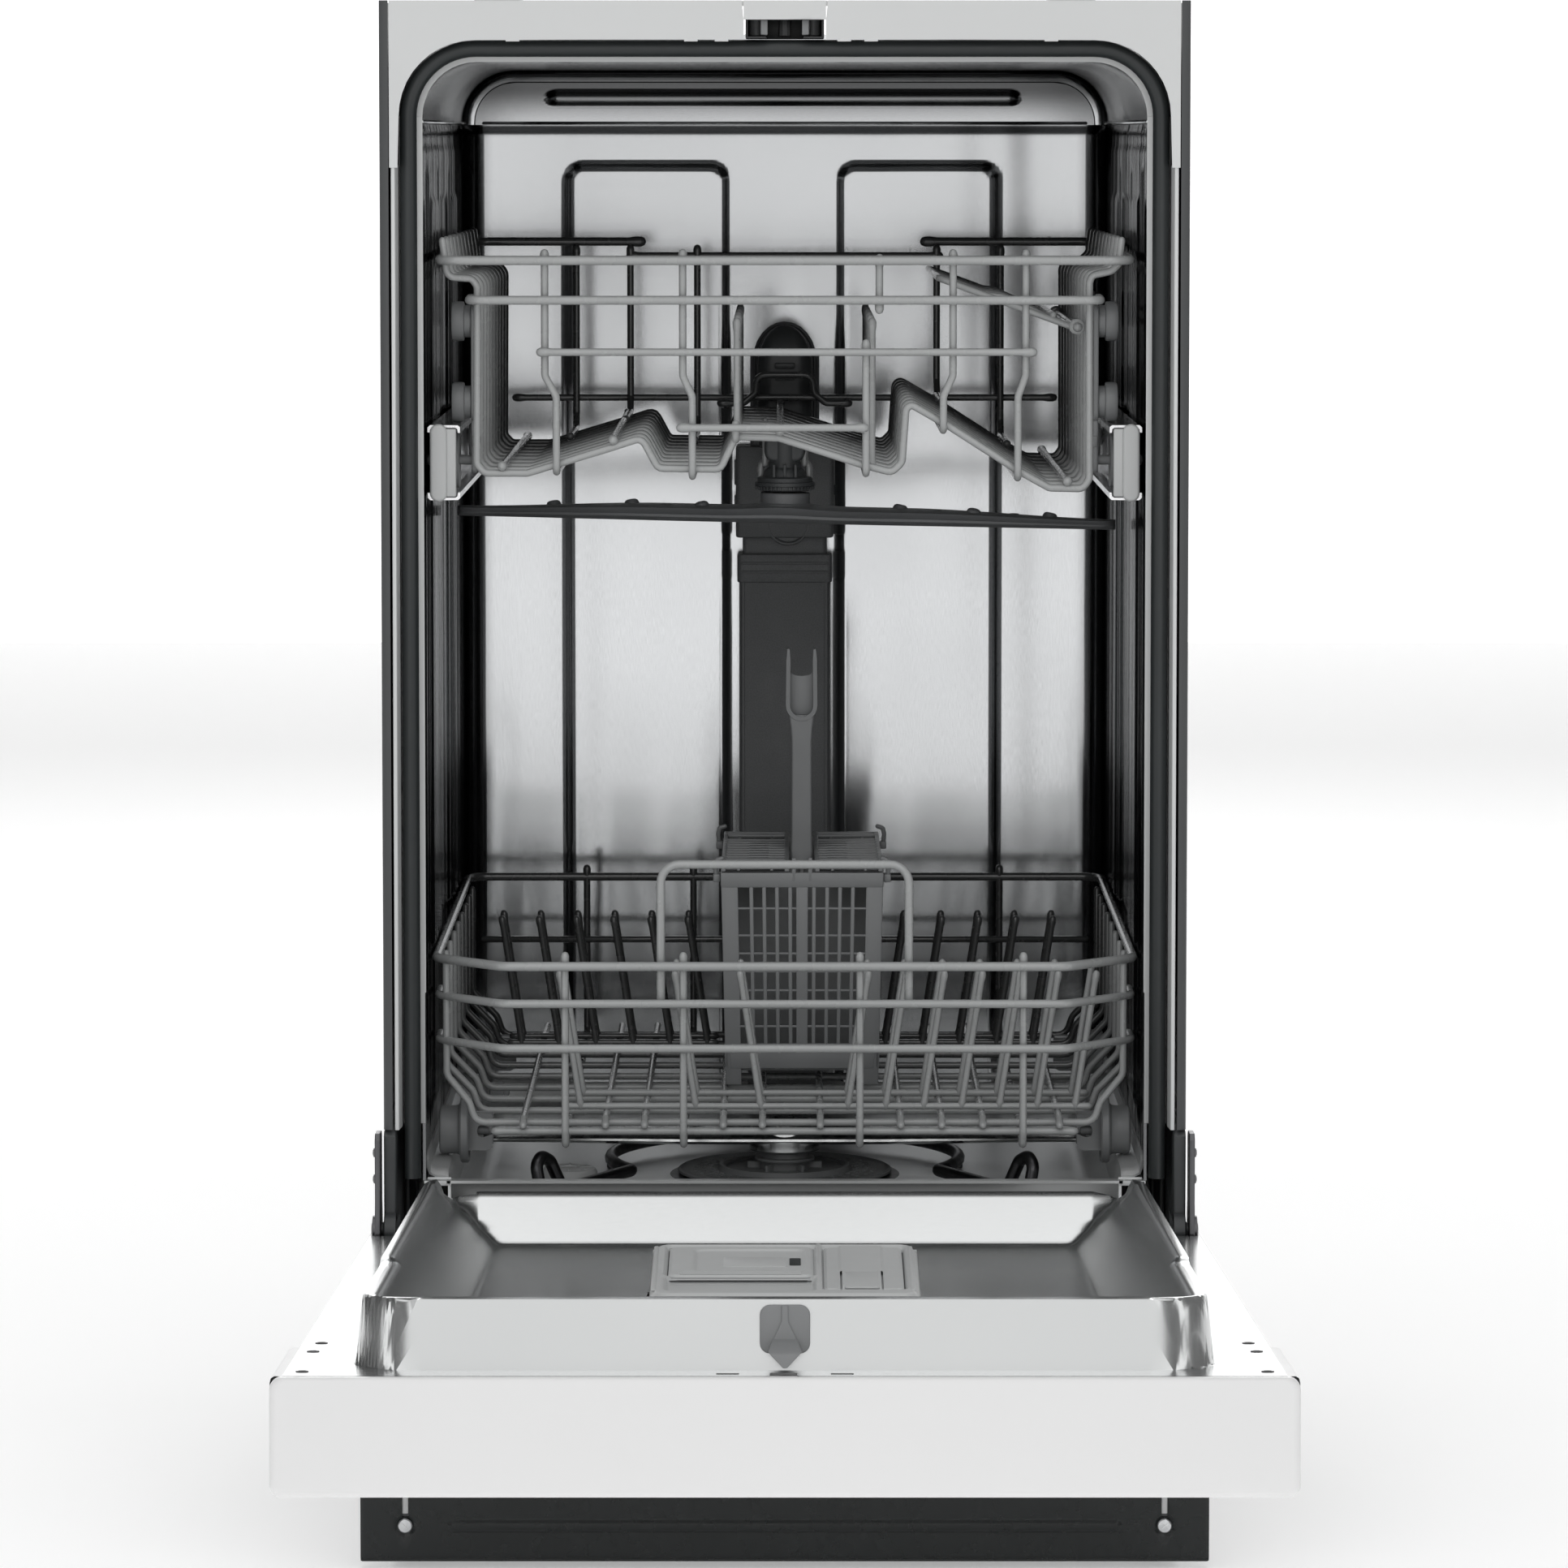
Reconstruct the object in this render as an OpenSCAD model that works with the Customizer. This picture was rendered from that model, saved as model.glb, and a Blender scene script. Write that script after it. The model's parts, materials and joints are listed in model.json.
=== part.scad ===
// Compact built-in dishwasher, door open, both racks in.
// X is to the right, Y runs back into the cabinet, Z is up.
// The origin is on the floor, midway across, in the plane of the cabinet's front.

/* [Cabinet] */
// Width over the two side panels
cabinet_w = 424; // [420:1:430]
// Height from the floor to the top of the crossbar
cabinet_h = 824; // [820:1:830]
// Depth from the front plane to the rear edge of the side panels
cabinet_d = 515; // [505:1:525]
// Height of the foot of the side panels, above the base corners
panel_foot = 230; // [225:1:235]

/* [Tub] */
// Half of the clear width inside the tub
tub_x = 191; // [191:0.5:192]
// Height of the ceiling inside the tub
tub_top = 792; // [790:1:793]
// Height of the seam between the tub cap and the walls
seam_z = 760; // [755:1:765]
// Height of the tub floor
floor_z = 172; // [171:1:174]
// Distance from the front plane to the inside of the back wall
tub_back_y = 490; // [488:1:494]
// Thickness of the stainless sheet
sheet = 1.5; // [1:0.1:2]

/* [Door] */
// Width over the outer panel
door_w = 440; // [436:1:442]
// Width over the console
console_w = 448; // [444:1:450]
// Thickness from the flange to the outer face
door_t = 51; // [49:1:53]
// Length from the hinge axis to the top edge
door_len = 640; // [636:1:642]
// Length of the console along the door
console_len = 116; // [110:1:120]
// Length of the door below the hinge axis
door_tail = 40; // [36:1:42]
// Angle by which the open door stands above level
door_tilt = 3.73; // [3:0.01:5]
// Height of the hinge axis
pivot_z = 177; // [175:0.5:179]
// Radius of the hinge pins
pin_r = 4; // [3:0.5:5]
// Height of the ridge round the inner liner
ridge_h = 31; // [29:1:32]
// Half of the width over that ridge
ridge_x = 189.5; // [188:0.5:190]

/* [Racks] */
// Diameter of the rim wire
rim_d = 5; // [4.5:0.1:5.5]
// Diameter of the lighter wire
wire_d = 4; // [3.5:0.1:4.5]
// Height of the lower rack's top rail
low_rail_z = 313.5; // [311:0.5:316]
// Height of the lower rack's cross wires
low_floor_z = 225; // [223:1:227]
// Height of the upper rack's top rail
up_rail_z = 688; // [686:1:690]
// Radius of a lower wheel's tread
wheel_r = 13; // [12:0.5:14]
// Distance from the front plane to the rear of the upper rack
rack_back = 410; // [400:1:415]
// Distance from the front plane to the front rail of the lower rack
low_front = 28; // [27:0.5:30]

/* [Hidden] */
$fn = 48;

half_w = cabinet_w / 2;
panel_x = half_w - 5;
flange_x = panel_x - 1;
seal_out = 202;
seal_in = 193;
seal_y = 12;
seal_d = 12;
seal_top = tub_top + 12;
gap = 0.3;
wire_gap = 0.1;
arm_y = 235;
low_arm_z = 189;
ledge_x = 179;
up_arm_z = 538;
wheel_z = 218;
ledge_z = wheel_z - wheel_r - 0.3;
wall_roller_y = [70, 150];
wheel_front_y = 84;
wheel_rear_y = 394;
axle_r = 3;
flange_z = -2;
boss_r = 9;
boss_x = 204;
inlet_x = -120;
drain_x = -72;
port_end = cabinet_d + 7;
basket_x = 9.5;
basket_w = 90;
basket_y0 = 153;
basket_y1 = 343;
basket_z0 = 232;
basket_z1 = 350;
rail_z0 = 561;
rail_h = 40;
jaw_pivot = [15, 20, 810];
jaw_pin_r = 1.5;
lid_z = basket_z1 + 0.3;
shelf_pivot = [156, 0, 652];
shelf_tilt = 20;
shelf_pin_r = 2;
foot_x = 180;
foot_front_y = 100;
foot_rear_y = 480;
foot_top = 112;
stem_r = 5;

// A block between two corners.
module block(low, high) {
    translate(low) cube(high - low);
}

// The same thing on the left and on the right.
module both_sides() {
    children();
    mirror([1, 0, 0]) children();
}

// Places in the door's own frame: X across, -Y towards its top edge, Z inwards.
module on_door() {
    translate([0, 0, pivot_z]) rotate([-door_tilt, 0, 0]) children();
}

// Outline of a rectangle with rounded corners, centred on x, from y0 to y1.
function round_rect(w, y0, y1, r, steps = 6) = [
    for (q = [0:3])
        let (
            cx = (q == 0 || q == 3 ? 1 : -1) * (w / 2 - r),
            cy = q < 2 ? y1 - r : y0 + r
        )
        for (k = [0:steps])
            let (a = q * 90 + k * 90 / steps)
            [cx + r * cos(a), cy + r * sin(a)]
];

// A straight round wire from a to b.
module rod(a, b, d) {
    v = b - a;
    translate(a)
        rotate([0, acos(v[2] / norm(v)), atan2(v[1], v[0])])
            cylinder(h = norm(v), d = d, $fn = 8);
}

// How much a wire is cut back at a bend, so that the two legs just miss.
function bend_cut(p, i, r) =
    i == 0 || i == len(p) - 1
    ? 0
    : let (
          u = (p[i] - p[i - 1]) / norm(p[i] - p[i - 1]),
          v = (p[i + 1] - p[i]) / norm(p[i + 1] - p[i])
      )
      r * tan(acos(min(1, u * v)) / 2) + wire_gap;

// A wire along the given points.
module bent_wire(p, d) {
    for (i = [0:len(p) - 2]) {
        u = (p[i + 1] - p[i]) / norm(p[i + 1] - p[i]);
        rod(p[i] + u * bend_cut(p, i, d / 2), p[i + 1] - u * bend_cut(p, i + 1, d / 2), d);
    }
}

// ---- Tub ----

module tub_side_walls() {
    color("silver") both_sides()
        difference() {
            block([tub_x, seal_y + seal_d + 1, 199.2], [tub_x + sheet, tub_back_y, seam_z]);
            for (y = wall_roller_y)
                translate([tub_x - 1, y, rail_z0 + rail_h / 2])
                    rotate([0, 90, 0]) cylinder(h = 4, r = 3);
        }
}

module tub_back_wall() {
    emboss_w = 88;
    color("silver") {
        block([-tub_x - sheet, tub_back_y, 150], [tub_x + sheet, tub_back_y + sheet, tub_top + sheet]);
        for (x = [-81, 79])
            translate([x, tub_back_y + 0.2, 0]) rotate([90, 0, 0])
                linear_extrude(height = 2.2)
                    polygon(round_rect(emboss_w, 190, 738, 10));
    }
}

module tub_cap() {
    y0 = seal_y + seal_d + 1;
    color("silver") {
        block([-tub_x - sheet, y0, tub_top], [tub_x + sheet, tub_back_y - 0.05, tub_top + sheet]);
        both_sides()
            block([tub_x, y0, seam_z + 0.05], [tub_x + sheet, tub_back_y - 0.05, tub_top + 0.5]);
        both_sides()
            translate([tub_x + 0.5, y0, tub_top + 0.5]) rotate([-90, 0, 0])
                linear_extrude(height = tub_back_y - 0.05 - y0)
                    polygon([[0, 0], [-16, 0], [-11.5, 1.8], [-5, 6], [-1.8, 11.5], [0, 16]]);
    }
}

module tub_floor() {
    outer = tub_x + sheet;
    profile = [
        [25, 199], [34, 199], [72, floor_z], [tub_back_y - 0.1, floor_z],
        [tub_back_y - 0.1, floor_z - sheet], [71, floor_z - sheet], [33, 197], [25, 197]
    ];
    color("silver") {
        difference() {
            translate([-outer, 0, 0]) rotate([90, 0, 90])
                linear_extrude(height = 2 * outer) polygon(profile);
            translate([0, arm_y, floor_z - 5]) cylinder(h = 10, r = 56);
            translate([-120, 190, floor_z - 5]) cylinder(h = 10, r = 14);
        }
        both_sides() {
            block([ledge_x, 34, ledge_z - 1.3], [tub_x - 0.1, tub_back_y - 0.1, ledge_z]);
            block([ledge_x, 34, ledge_z - 12], [tub_x - 0.1, 35.4, ledge_z - 1]);
            block([ledge_x, 66, floor_z - 0.5], [ledge_x + 1.4, tub_back_y - 0.1, ledge_z - 1]);
        }
    }
}

module front_frame() {
    color("gainsboro") both_sides() {
        block([seal_out + 0.3, 0, panel_foot], [flange_x, sheet, 803.5]);
        block([seal_out + 0.3, sheet - 0.2, panel_foot], [seal_out + 1.8, 24, 803.5]);
        block([tub_x + sheet + 0.05, 24.1, panel_foot], [seal_out + 1.8, 25.6, 803.5]);
    }
    color("gainsboro")
        block([-seal_out - 1.8, 24.1, tub_top + sheet + 0.1], [seal_out + 1.8, 25.6, 803.9]);
}

module door_gasket() {
    outer_r = 40;
    inner_r = 31;
    color([0.18, 0.2, 0.21])
        translate([0, seal_y + seal_d, 0]) rotate([90, 0, 0])
            linear_extrude(height = seal_d)
                difference() {
                    polygon(round_rect(2 * seal_out, 150, seal_top - 0.3, outer_r, 8));
                    polygon(round_rect(2 * seal_in, 140, tub_top, inner_r, 8));
                    translate([-250, 140]) square([500, 62]);
                }
}

// ---- Cabinet shell ----

module side_panels() {
    color([0.28, 0.29, 0.3]) both_sides() {
        block([half_w - 1, 0, panel_foot], [half_w, cabinet_d, cabinet_h]);
        block([panel_x, 0, panel_foot], [half_w - 0.5, 1.2, cabinet_h]);
        block([panel_x, cabinet_d - 1.2, panel_foot], [half_w - 0.5, cabinet_d, cabinet_h]);
    }
}

module top_crossbar() {
    cut_x = 21.5;
    color([0.84, 0.85, 0.85]) {
        difference() {
            block([-panel_x + 0.2, 0, seal_top], [panel_x - 0.2, 1.2, cabinet_h]);
            block([-cut_x, -1, 803], [cut_x, 3, 814]);
        }
        block([-panel_x + 0.2, 1, cabinet_h - 1.2], [panel_x - 0.2, 70, cabinet_h]);
    }
}

module door_lock() {
    color([0.09, 0.1, 0.1]) {
        both_sides() {
            difference() {
                block([9.5, 2, 804.2], [20.5, 34, 805.4]);
                block([8, 1, 800], [13, 18, 820]);
            }
            block([19.3, 2, 805.2], [20.5, 34, 817]);
            translate([jaw_pivot[0], jaw_pivot[1], 805]) cylinder(h = 12, r = jaw_pin_r);
        }
        block([-20.5, 2, 816], [20.5, 34, 817.2]);
        block([-20.5, 32.8, 804.2], [20.5, 34, 817]);
    }
}

module lock_jaw() {
    translate(jaw_pivot)
        difference() {
            union() {
                translate([0, 0, -4.4]) cylinder(h = 9.4, r = 3.6);
                block([-6, -16, -4], [-2.2, 1, 4]);
            }
            translate([0, 0, -10]) cylinder(h = 20, r = jaw_pin_r + 0.06);
        }
}

module lock_jaw_left() {
    color([0.4, 0.42, 0.42]) mirror([1, 0, 0]) lock_jaw();
}

module lock_jaw_right() {
    color([0.4, 0.42, 0.42]) lock_jaw();
}

module insulation_blanket() {
    thick = 8;
    x = tub_x + sheet + 0.3;
    color([0.22, 0.22, 0.23]) {
        both_sides()
            block([x, 30, panel_foot + 5], [x + thick, tub_back_y + 10, tub_top + 1]);
        block([-x + 5, tub_back_y + sheet + 0.3, panel_foot], [x - 5, tub_back_y + 9, tub_top + 2]);
        block([-x + 5, 72, tub_top + sheet + 0.3], [x - 5, tub_back_y, tub_top + 9]);
    }
}

// Straps that tie the two side panels together behind the tub.
module rear_frame() {
    color("silver") for (z = [panel_foot + 8, cabinet_h - 40])
        block([-panel_x - 3.5, cabinet_d - 4, z], [panel_x + 3.5, cabinet_d - 2.4, z + 30]);
}

module countertop_brackets() {
    color("silver") both_sides()
        difference() {
            block([138, -1, cabinet_h], [162, 45, cabinet_h + 1.5]);
            translate([150, 10, cabinet_h - 5]) cylinder(h = 12, r = 2.5);
        }
}

// ---- Base ----

module base_pan() {
    color([0.12, 0.12, 0.13]) {
        difference() {
            block([-205, 72, 60], [205, cabinet_d - 5, 63]);
            for (x = [-foot_x, foot_x], y = [foot_front_y, foot_rear_y])
                translate([x, y, 50]) cylinder(h = 20, r = stem_r + 0.05);
            block([132, 70, 50], [178, 196, 70]);
        }
        both_sides() block([202, 72, 62], [205, cabinet_d - 5, 226]);
        difference() {
            block([-205, cabinet_d - 8, 62], [205, cabinet_d - 5, 160]);
            translate([inlet_x, 480, 100]) rotate([-90, 0, 0]) cylinder(h = 60, r = 22);
            translate([drain_x, 480, 105]) rotate([-90, 0, 0]) cylinder(h = 60, r = 19);
        }
    }
}

module base_corners() {
    color([0.16, 0.17, 0.18]) both_sides() {
        block([205.3, 0, pivot_z + 3], [half_w, 110, panel_foot - 0.3]);
        block([205.3, 44, 60], [half_w, 110, pivot_z + 4]);
        translate([205.5, 0, pivot_z]) rotate([0, 90, 0]) cylinder(h = 13, r = pin_r);
        translate([205.5, 0, pivot_z]) rotate([0, 90, 0]) cylinder(h = 6.3, r = boss_r);
        block([205.3, -14, 6], [209, 74, 60.5]);
        block([178, -16.5, 6], [209, -14, 60]);
    }
}

module toe_kick() {
    y = -18.5;
    color([0.06, 0.08, 0.08]) {
        difference() {
            block([-224, y, 3], [224, y + 1.5, 108]);
            both_sides() {
                translate([200.5, y - 5, 22]) rotate([-90, 0, 0]) cylinder(h = 10, r = 2.2);
                block([198.6, y - 1, 26], [202.4, y + 3, 60]);
            }
        }
        translate([0, y + 0.2, 0]) rotate([90, 0, 0])
            linear_extrude(height = 1.4)
                polygon(round_rect(356, 18.5, 25, 3.2));
    }
}

module toe_kick_screws() {
    color("silver") both_sides()
        translate([200.5, -20.4, 22]) rotate([-90, 0, 0]) {
            cylinder(h = 1.8, r = 3.8);
            cylinder(h = 6, r = 2);
        }
}

// A levelling foot: a threaded stem with a round pad.
module foot(x, y) {
    color([0.2, 0.2, 0.2]) translate([x, y, 0]) {
        cylinder(h = 10, r = 17);
        translate([0, 0, 9]) cylinder(h = foot_top - 9, r = stem_r);
        translate([0, 0, 12]) cylinder(h = 6, r = 10, $fn = 6);
    }
}

module foot_front_left() { foot(-foot_x, foot_front_y); }
module foot_front_right() { foot(foot_x, foot_front_y); }
module foot_rear_left() { foot(-foot_x, foot_rear_y); }
module foot_rear_right() { foot(foot_x, foot_rear_y); }

// ---- Water system ----

module sump() {
    color([0.35, 0.36, 0.37]) difference() {
        union() {
            translate([0, arm_y, 110]) cylinder(h = 58, r = 52);
            translate([0, arm_y, floor_z - sheet - 4]) cylinder(h = 4, r = 66);
        }
        translate([0, arm_y, 116]) cylinder(h = 80, r = 48);
    }
}

module filter() {
    color([0.4, 0.41, 0.42]) translate([0, arm_y, 0]) {
        difference() {
            translate([0, 0, floor_z + 0.3]) cylinder(h = 4, r = 60);
            translate([0, 0, floor_z - 5]) cylinder(h = 20, r = 34);
        }
        difference() {
            translate([0, 0, 125]) cylinder(h = floor_z - 123, r = 36);
            translate([0, 0, 130]) cylinder(h = 70, r = 33);
        }
        translate([0, 0, 120]) cylinder(h = 64, r = 14);
    }
}

module float() {
    color([0.5, 0.51, 0.52]) translate([-120, 190, 0]) {
        translate([0, 0, floor_z + 0.4]) cylinder(h = 9, r = 16);
        translate([0, 0, 140]) cylinder(h = floor_z - 138, r = 6);
    }
}

// Heating tube: a broad bow round the sump with a raised loop at each front end.
module heater() {
    z = 180;
    r = 3.6;
    color([0.2, 0.21, 0.22]) {
        translate([0, arm_y, z])
            rotate([0, 0, -30])
                rotate_extrude(angle = 240, $fn = 64) translate([98, 0]) circle(r = r, $fn = 16);
        both_sides() {
            translate([98 * cos(30), arm_y - 98 * sin(30), z])
                rotate([90, 0, 27]) cylinder(h = 96, r = r - 0.05, $fn = 16);
            translate([132, 101, floor_z + 0.2]) cylinder(h = 28, r = r, $fn = 16);
            translate([132, 101, floor_z + 0.2]) cylinder(h = 4, r = 10);
        }
    }
}

module circulation_pump() {
    color([0.3, 0.3, 0.32]) translate([70, 330, 118]) {
        rotate([0, 90, 0]) cylinder(h = 90, r = 40);
        translate([-22, 0, 0]) rotate([0, 90, 0]) cylinder(h = 23, r = 46);
    }
}

module drain_pump() {
    color([0.3, 0.3, 0.32]) translate([-110, 330, 105]) {
        rotate([0, 90, 0]) cylinder(h = 50, r = 26);
        translate([-45, -22, -22]) cube([46, 44, 44]);
    }
    color([0.5, 0.5, 0.5]) translate([drain_x, 350, 105]) rotate([-90, 0, 0]) {
        cylinder(h = port_end - 350 - 25, r = 8);
        translate([0, 0, port_end - 350 - 30]) cylinder(h = 30, r = 10);
    }
}

module inlet_valve() {
    color([0.75, 0.76, 0.77]) translate([inlet_x, 0, 100]) {
        translate([0, port_end - 30, 0]) rotate([-90, 0, 0]) cylinder(h = 30, r = 13.2);
        translate([-18, port_end - 70, -18]) cube([36, 40.5, 36]);
    }
}

module junction_box() {
    color([0.7, 0.71, 0.72]) difference() {
        block([120, 130, 66], [190, 204, 106]);
        block([121.2, 131.2, 67.2], [188.8, 202.8, 104.8]);
        translate([155, 167, 60]) cylinder(h = 7.2, r = 11.1);
    }
}

module hinge_springs() {
    color("dimgray") both_sides() {
        translate([195, 160, 130]) rotate([-90, 0, 0]) cylinder(h = 170, r = 6);
        translate([195, 329, 130]) rotate([-90, 0, 0]) cylinder(h = 40, r = 2);
        translate([195, 111, 130]) rotate([-90, 0, 0]) cylinder(h = 50, r = 2);
        block([190, 366, 124], [201.8, 372, 136]);
    }
}

module rear_water_column() {
    y = tub_back_y - 26;
    color([0.3, 0.31, 0.31]) {
        block([-27, y, 210], [27, tub_back_y - 2.4, 506]);
        block([-25, y + 3, 505.8], [25, tub_back_y - 2.4, 516]);
        block([-29, y - 2, 515.8], [29, tub_back_y - 2.4, 570]);
        block([-20, y + 4, 569.5], [20, tub_back_y - 2.4, 625]);
        block([-22, y, 176.4], [22, tub_back_y - 2.4, 210.2]);
    }
}

module rail_rollers() {
    z = rail_z0 + rail_h / 2;
    color([0.45, 0.46, 0.47]) both_sides()
        for (y = wall_roller_y)
            translate([0, y, z]) rotate([0, 90, 0]) {
                translate([0, 0, 184.2]) cylinder(h = 8.1, r = 2.9);
                translate([0, 0, 184]) cylinder(h = 3.6, r = 14);
            }
}

// ---- Door ----

module door_outer_panel() {
    x = door_w / 2;
    bottom = flange_z - door_t;
    tail_end = -(door_len - console_len);
    color("white") on_door() {
        block([-x, tail_end, bottom], [x, door_tail, bottom + 1.2]);
        both_sides()
            block([x - 1.2, tail_end, bottom + 1], [x, door_tail, flange_z - 1.3]);
        block([-x, door_tail - 1.2, bottom + 1], [x, door_tail, flange_z - 1.3]);
    }
}

// Inner liner: a flat flange, a raised hollow ridge, and a basin inside the ridge.
module door_liner() {
    far = -36;
    near = -612;
    inner_x = 179.5;
    basin_far = -66;
    basin_near = -598;
    rim_top = 24;
    t = 1.2;
    color("silver") on_door() difference() {
        union() {
            translate([0, 0, flange_z - t]) linear_extrude(height = t)
                polygon(round_rect(door_w - 3, -(door_len - 4), door_tail - 2, 5));
            translate([0, 0, flange_z - 0.2]) linear_extrude(height = ridge_h + 0.2)
                polygon(round_rect(2 * ridge_x, near, far, 30, 8));
        }
        translate([0, 0, flange_z]) linear_extrude(height = ridge_h + 5)
            polygon(round_rect(2 * inner_x, basin_near, basin_far, 26, 8));
        block([-inner_x, basin_far - 25, rim_top], [inner_x, far + 1, ridge_h + 5]);
        difference() {
            translate([0, 0, flange_z - 5]) linear_extrude(height = ridge_h + 5 - t)
                polygon(round_rect(2 * (ridge_x - t), near + t, far - t, 29, 8));
            translate([0, 0, flange_z - 20]) linear_extrude(height = ridge_h + 40)
                polygon(round_rect(2 * (inner_x + t), basin_near - t, basin_far + t, 27, 8));
            block([-inner_x - t, basin_far - 25, rim_top - t], [inner_x + t, far + 1, ridge_h + 20]);
        }
        both_sides()
            block([boss_x, -13, flange_z - 5], [half_w + 20, 13, flange_z + 5]);
        block([-8.5, -634, flange_z - 5], [8.5, -623, flange_z + 5]);
    }
}

module door_console() {
    x = console_w / 2;
    y0 = -door_len;
    y1 = -(door_len - console_len);
    bottom = flange_z - door_t - 1.5;
    wall = 2.5;
    color("white") on_door() difference() {
        translate([0, 0, bottom]) linear_extrude(height = flange_z - bottom)
            polygon(round_rect(2 * x, y0, y1, 4, 4));
        difference() {
            block([-x + wall, y0 + wall, bottom + wall], [x - wall, y1 + 5, flange_z + 5]);
            block([-96, y0 - 1, bottom - 1], [96, y1 - 60, bottom + 30]);
        }
        block([-93, y0 + 8, bottom - 1], [93, y1 - 63, bottom + 26]);
        for (p = [-190, -150, 180])
            translate([p, y0 + 30, bottom - 1]) cylinder(h = 10, r = 7.3);
    }
}

module console_button(x) {
    bottom = flange_z - door_t - 1.5;
    color([0.82, 0.83, 0.83]) on_door()
        translate([x, -door_len + 30, 0]) {
            translate([0, 0, bottom - 1]) cylinder(h = 6, r = 7);
            translate([0, 0, bottom + 4.5]) cylinder(h = 2, r = 8.5);
        }
}

module power_button() { console_button(-190); }
module program_button() { console_button(-150); }
module start_button() { console_button(180); }

module control_board() {
    color([0.1, 0.35, 0.2]) on_door() {
        block([-205, -625, -32], [-98, -600, -30.4]);
        block([98, -625, -32], [205, -600, -30.4]);
        block([-99, -604, -22], [99, -600, -20.4]);
    }
}

module hinge_arms() {
    color([0.35, 0.36, 0.37]) both_sides()
        difference() {
            union() {
                translate([213, 0, pivot_z]) rotate([0, 90, 0]) cylinder(h = 5, r = 12);
                block([213, -9, pivot_z - 2], [218, 9, 229]);
                on_door() block([213, -150, -24], [218, 5, -10]);
            }
            translate([205, 0, pivot_z]) rotate([0, 90, 0])
                cylinder(h = 20, r = pin_r + 0.05);
        }
}

module dispenser_housing() {
    color([0.62, 0.63, 0.63]) on_door() difference() {
        translate([-64, 0, 0]) rotate([90, 0, 90]) linear_extrude(height = 128)
            polygon([[-290, flange_z + 0.2], [-290, 22], [-400, 8], [-400, flange_z + 0.2]]);
        translate([0, -290, 22]) rotate([7.25, 0, 0]) {
            block([-56, -104, -8], [14, -6, 3]);
            block([18, -97, -6], [57, -6, 3]);
        }
    }
}

module detergent_lid() {
    color([0.64, 0.65, 0.65]) on_door()
        translate([0, -290, 22]) rotate([7.25, 0, 0])
            block([-55.7, -68, -3], [13.7, -6.5, -0.3]);
}

module rinse_aid_flap() {
    color([0.55, 0.56, 0.56]) on_door()
        translate([0, -290, 22]) rotate([7.25, 0, 0])
            block([18.5, -96, -3.2], [56.5, -7, -0.4]);
}

module latch_hook() {
    color([0.49, 0.5, 0.5]) on_door() {
        block([-11, -614.8, 5], [11, -612, 27]);
        // The striker: flat where it passes under the gasket, with a kite-shaped nose in front of it.
        intersection() {
            rotate([90, 0, 90]) translate([0, 0, -8]) linear_extrude(height = 16)
                polygon([
                    [-613.6, 26.6], [-614.9, 26.6], [-614.9, 11.6], [-628, 7.4],
                    [-633.2, 1.6], [-631.4, 1.6], [-625, 4.4], [-613.6, 5.4]
                ]);
            translate([0, -610, 0]) rotate([90, 0, 0]) linear_extrude(height = 26)
                polygon([
                    [-1.6, 30], [-1.6, 19.6], [-7.2, 7.4], [-0.8, 1],
                    [0.8, 1], [7.2, 7.4], [1.6, 19.6], [1.6, 30]
                ]);
        }
    }
}

// ---- Lower rack ----

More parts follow.
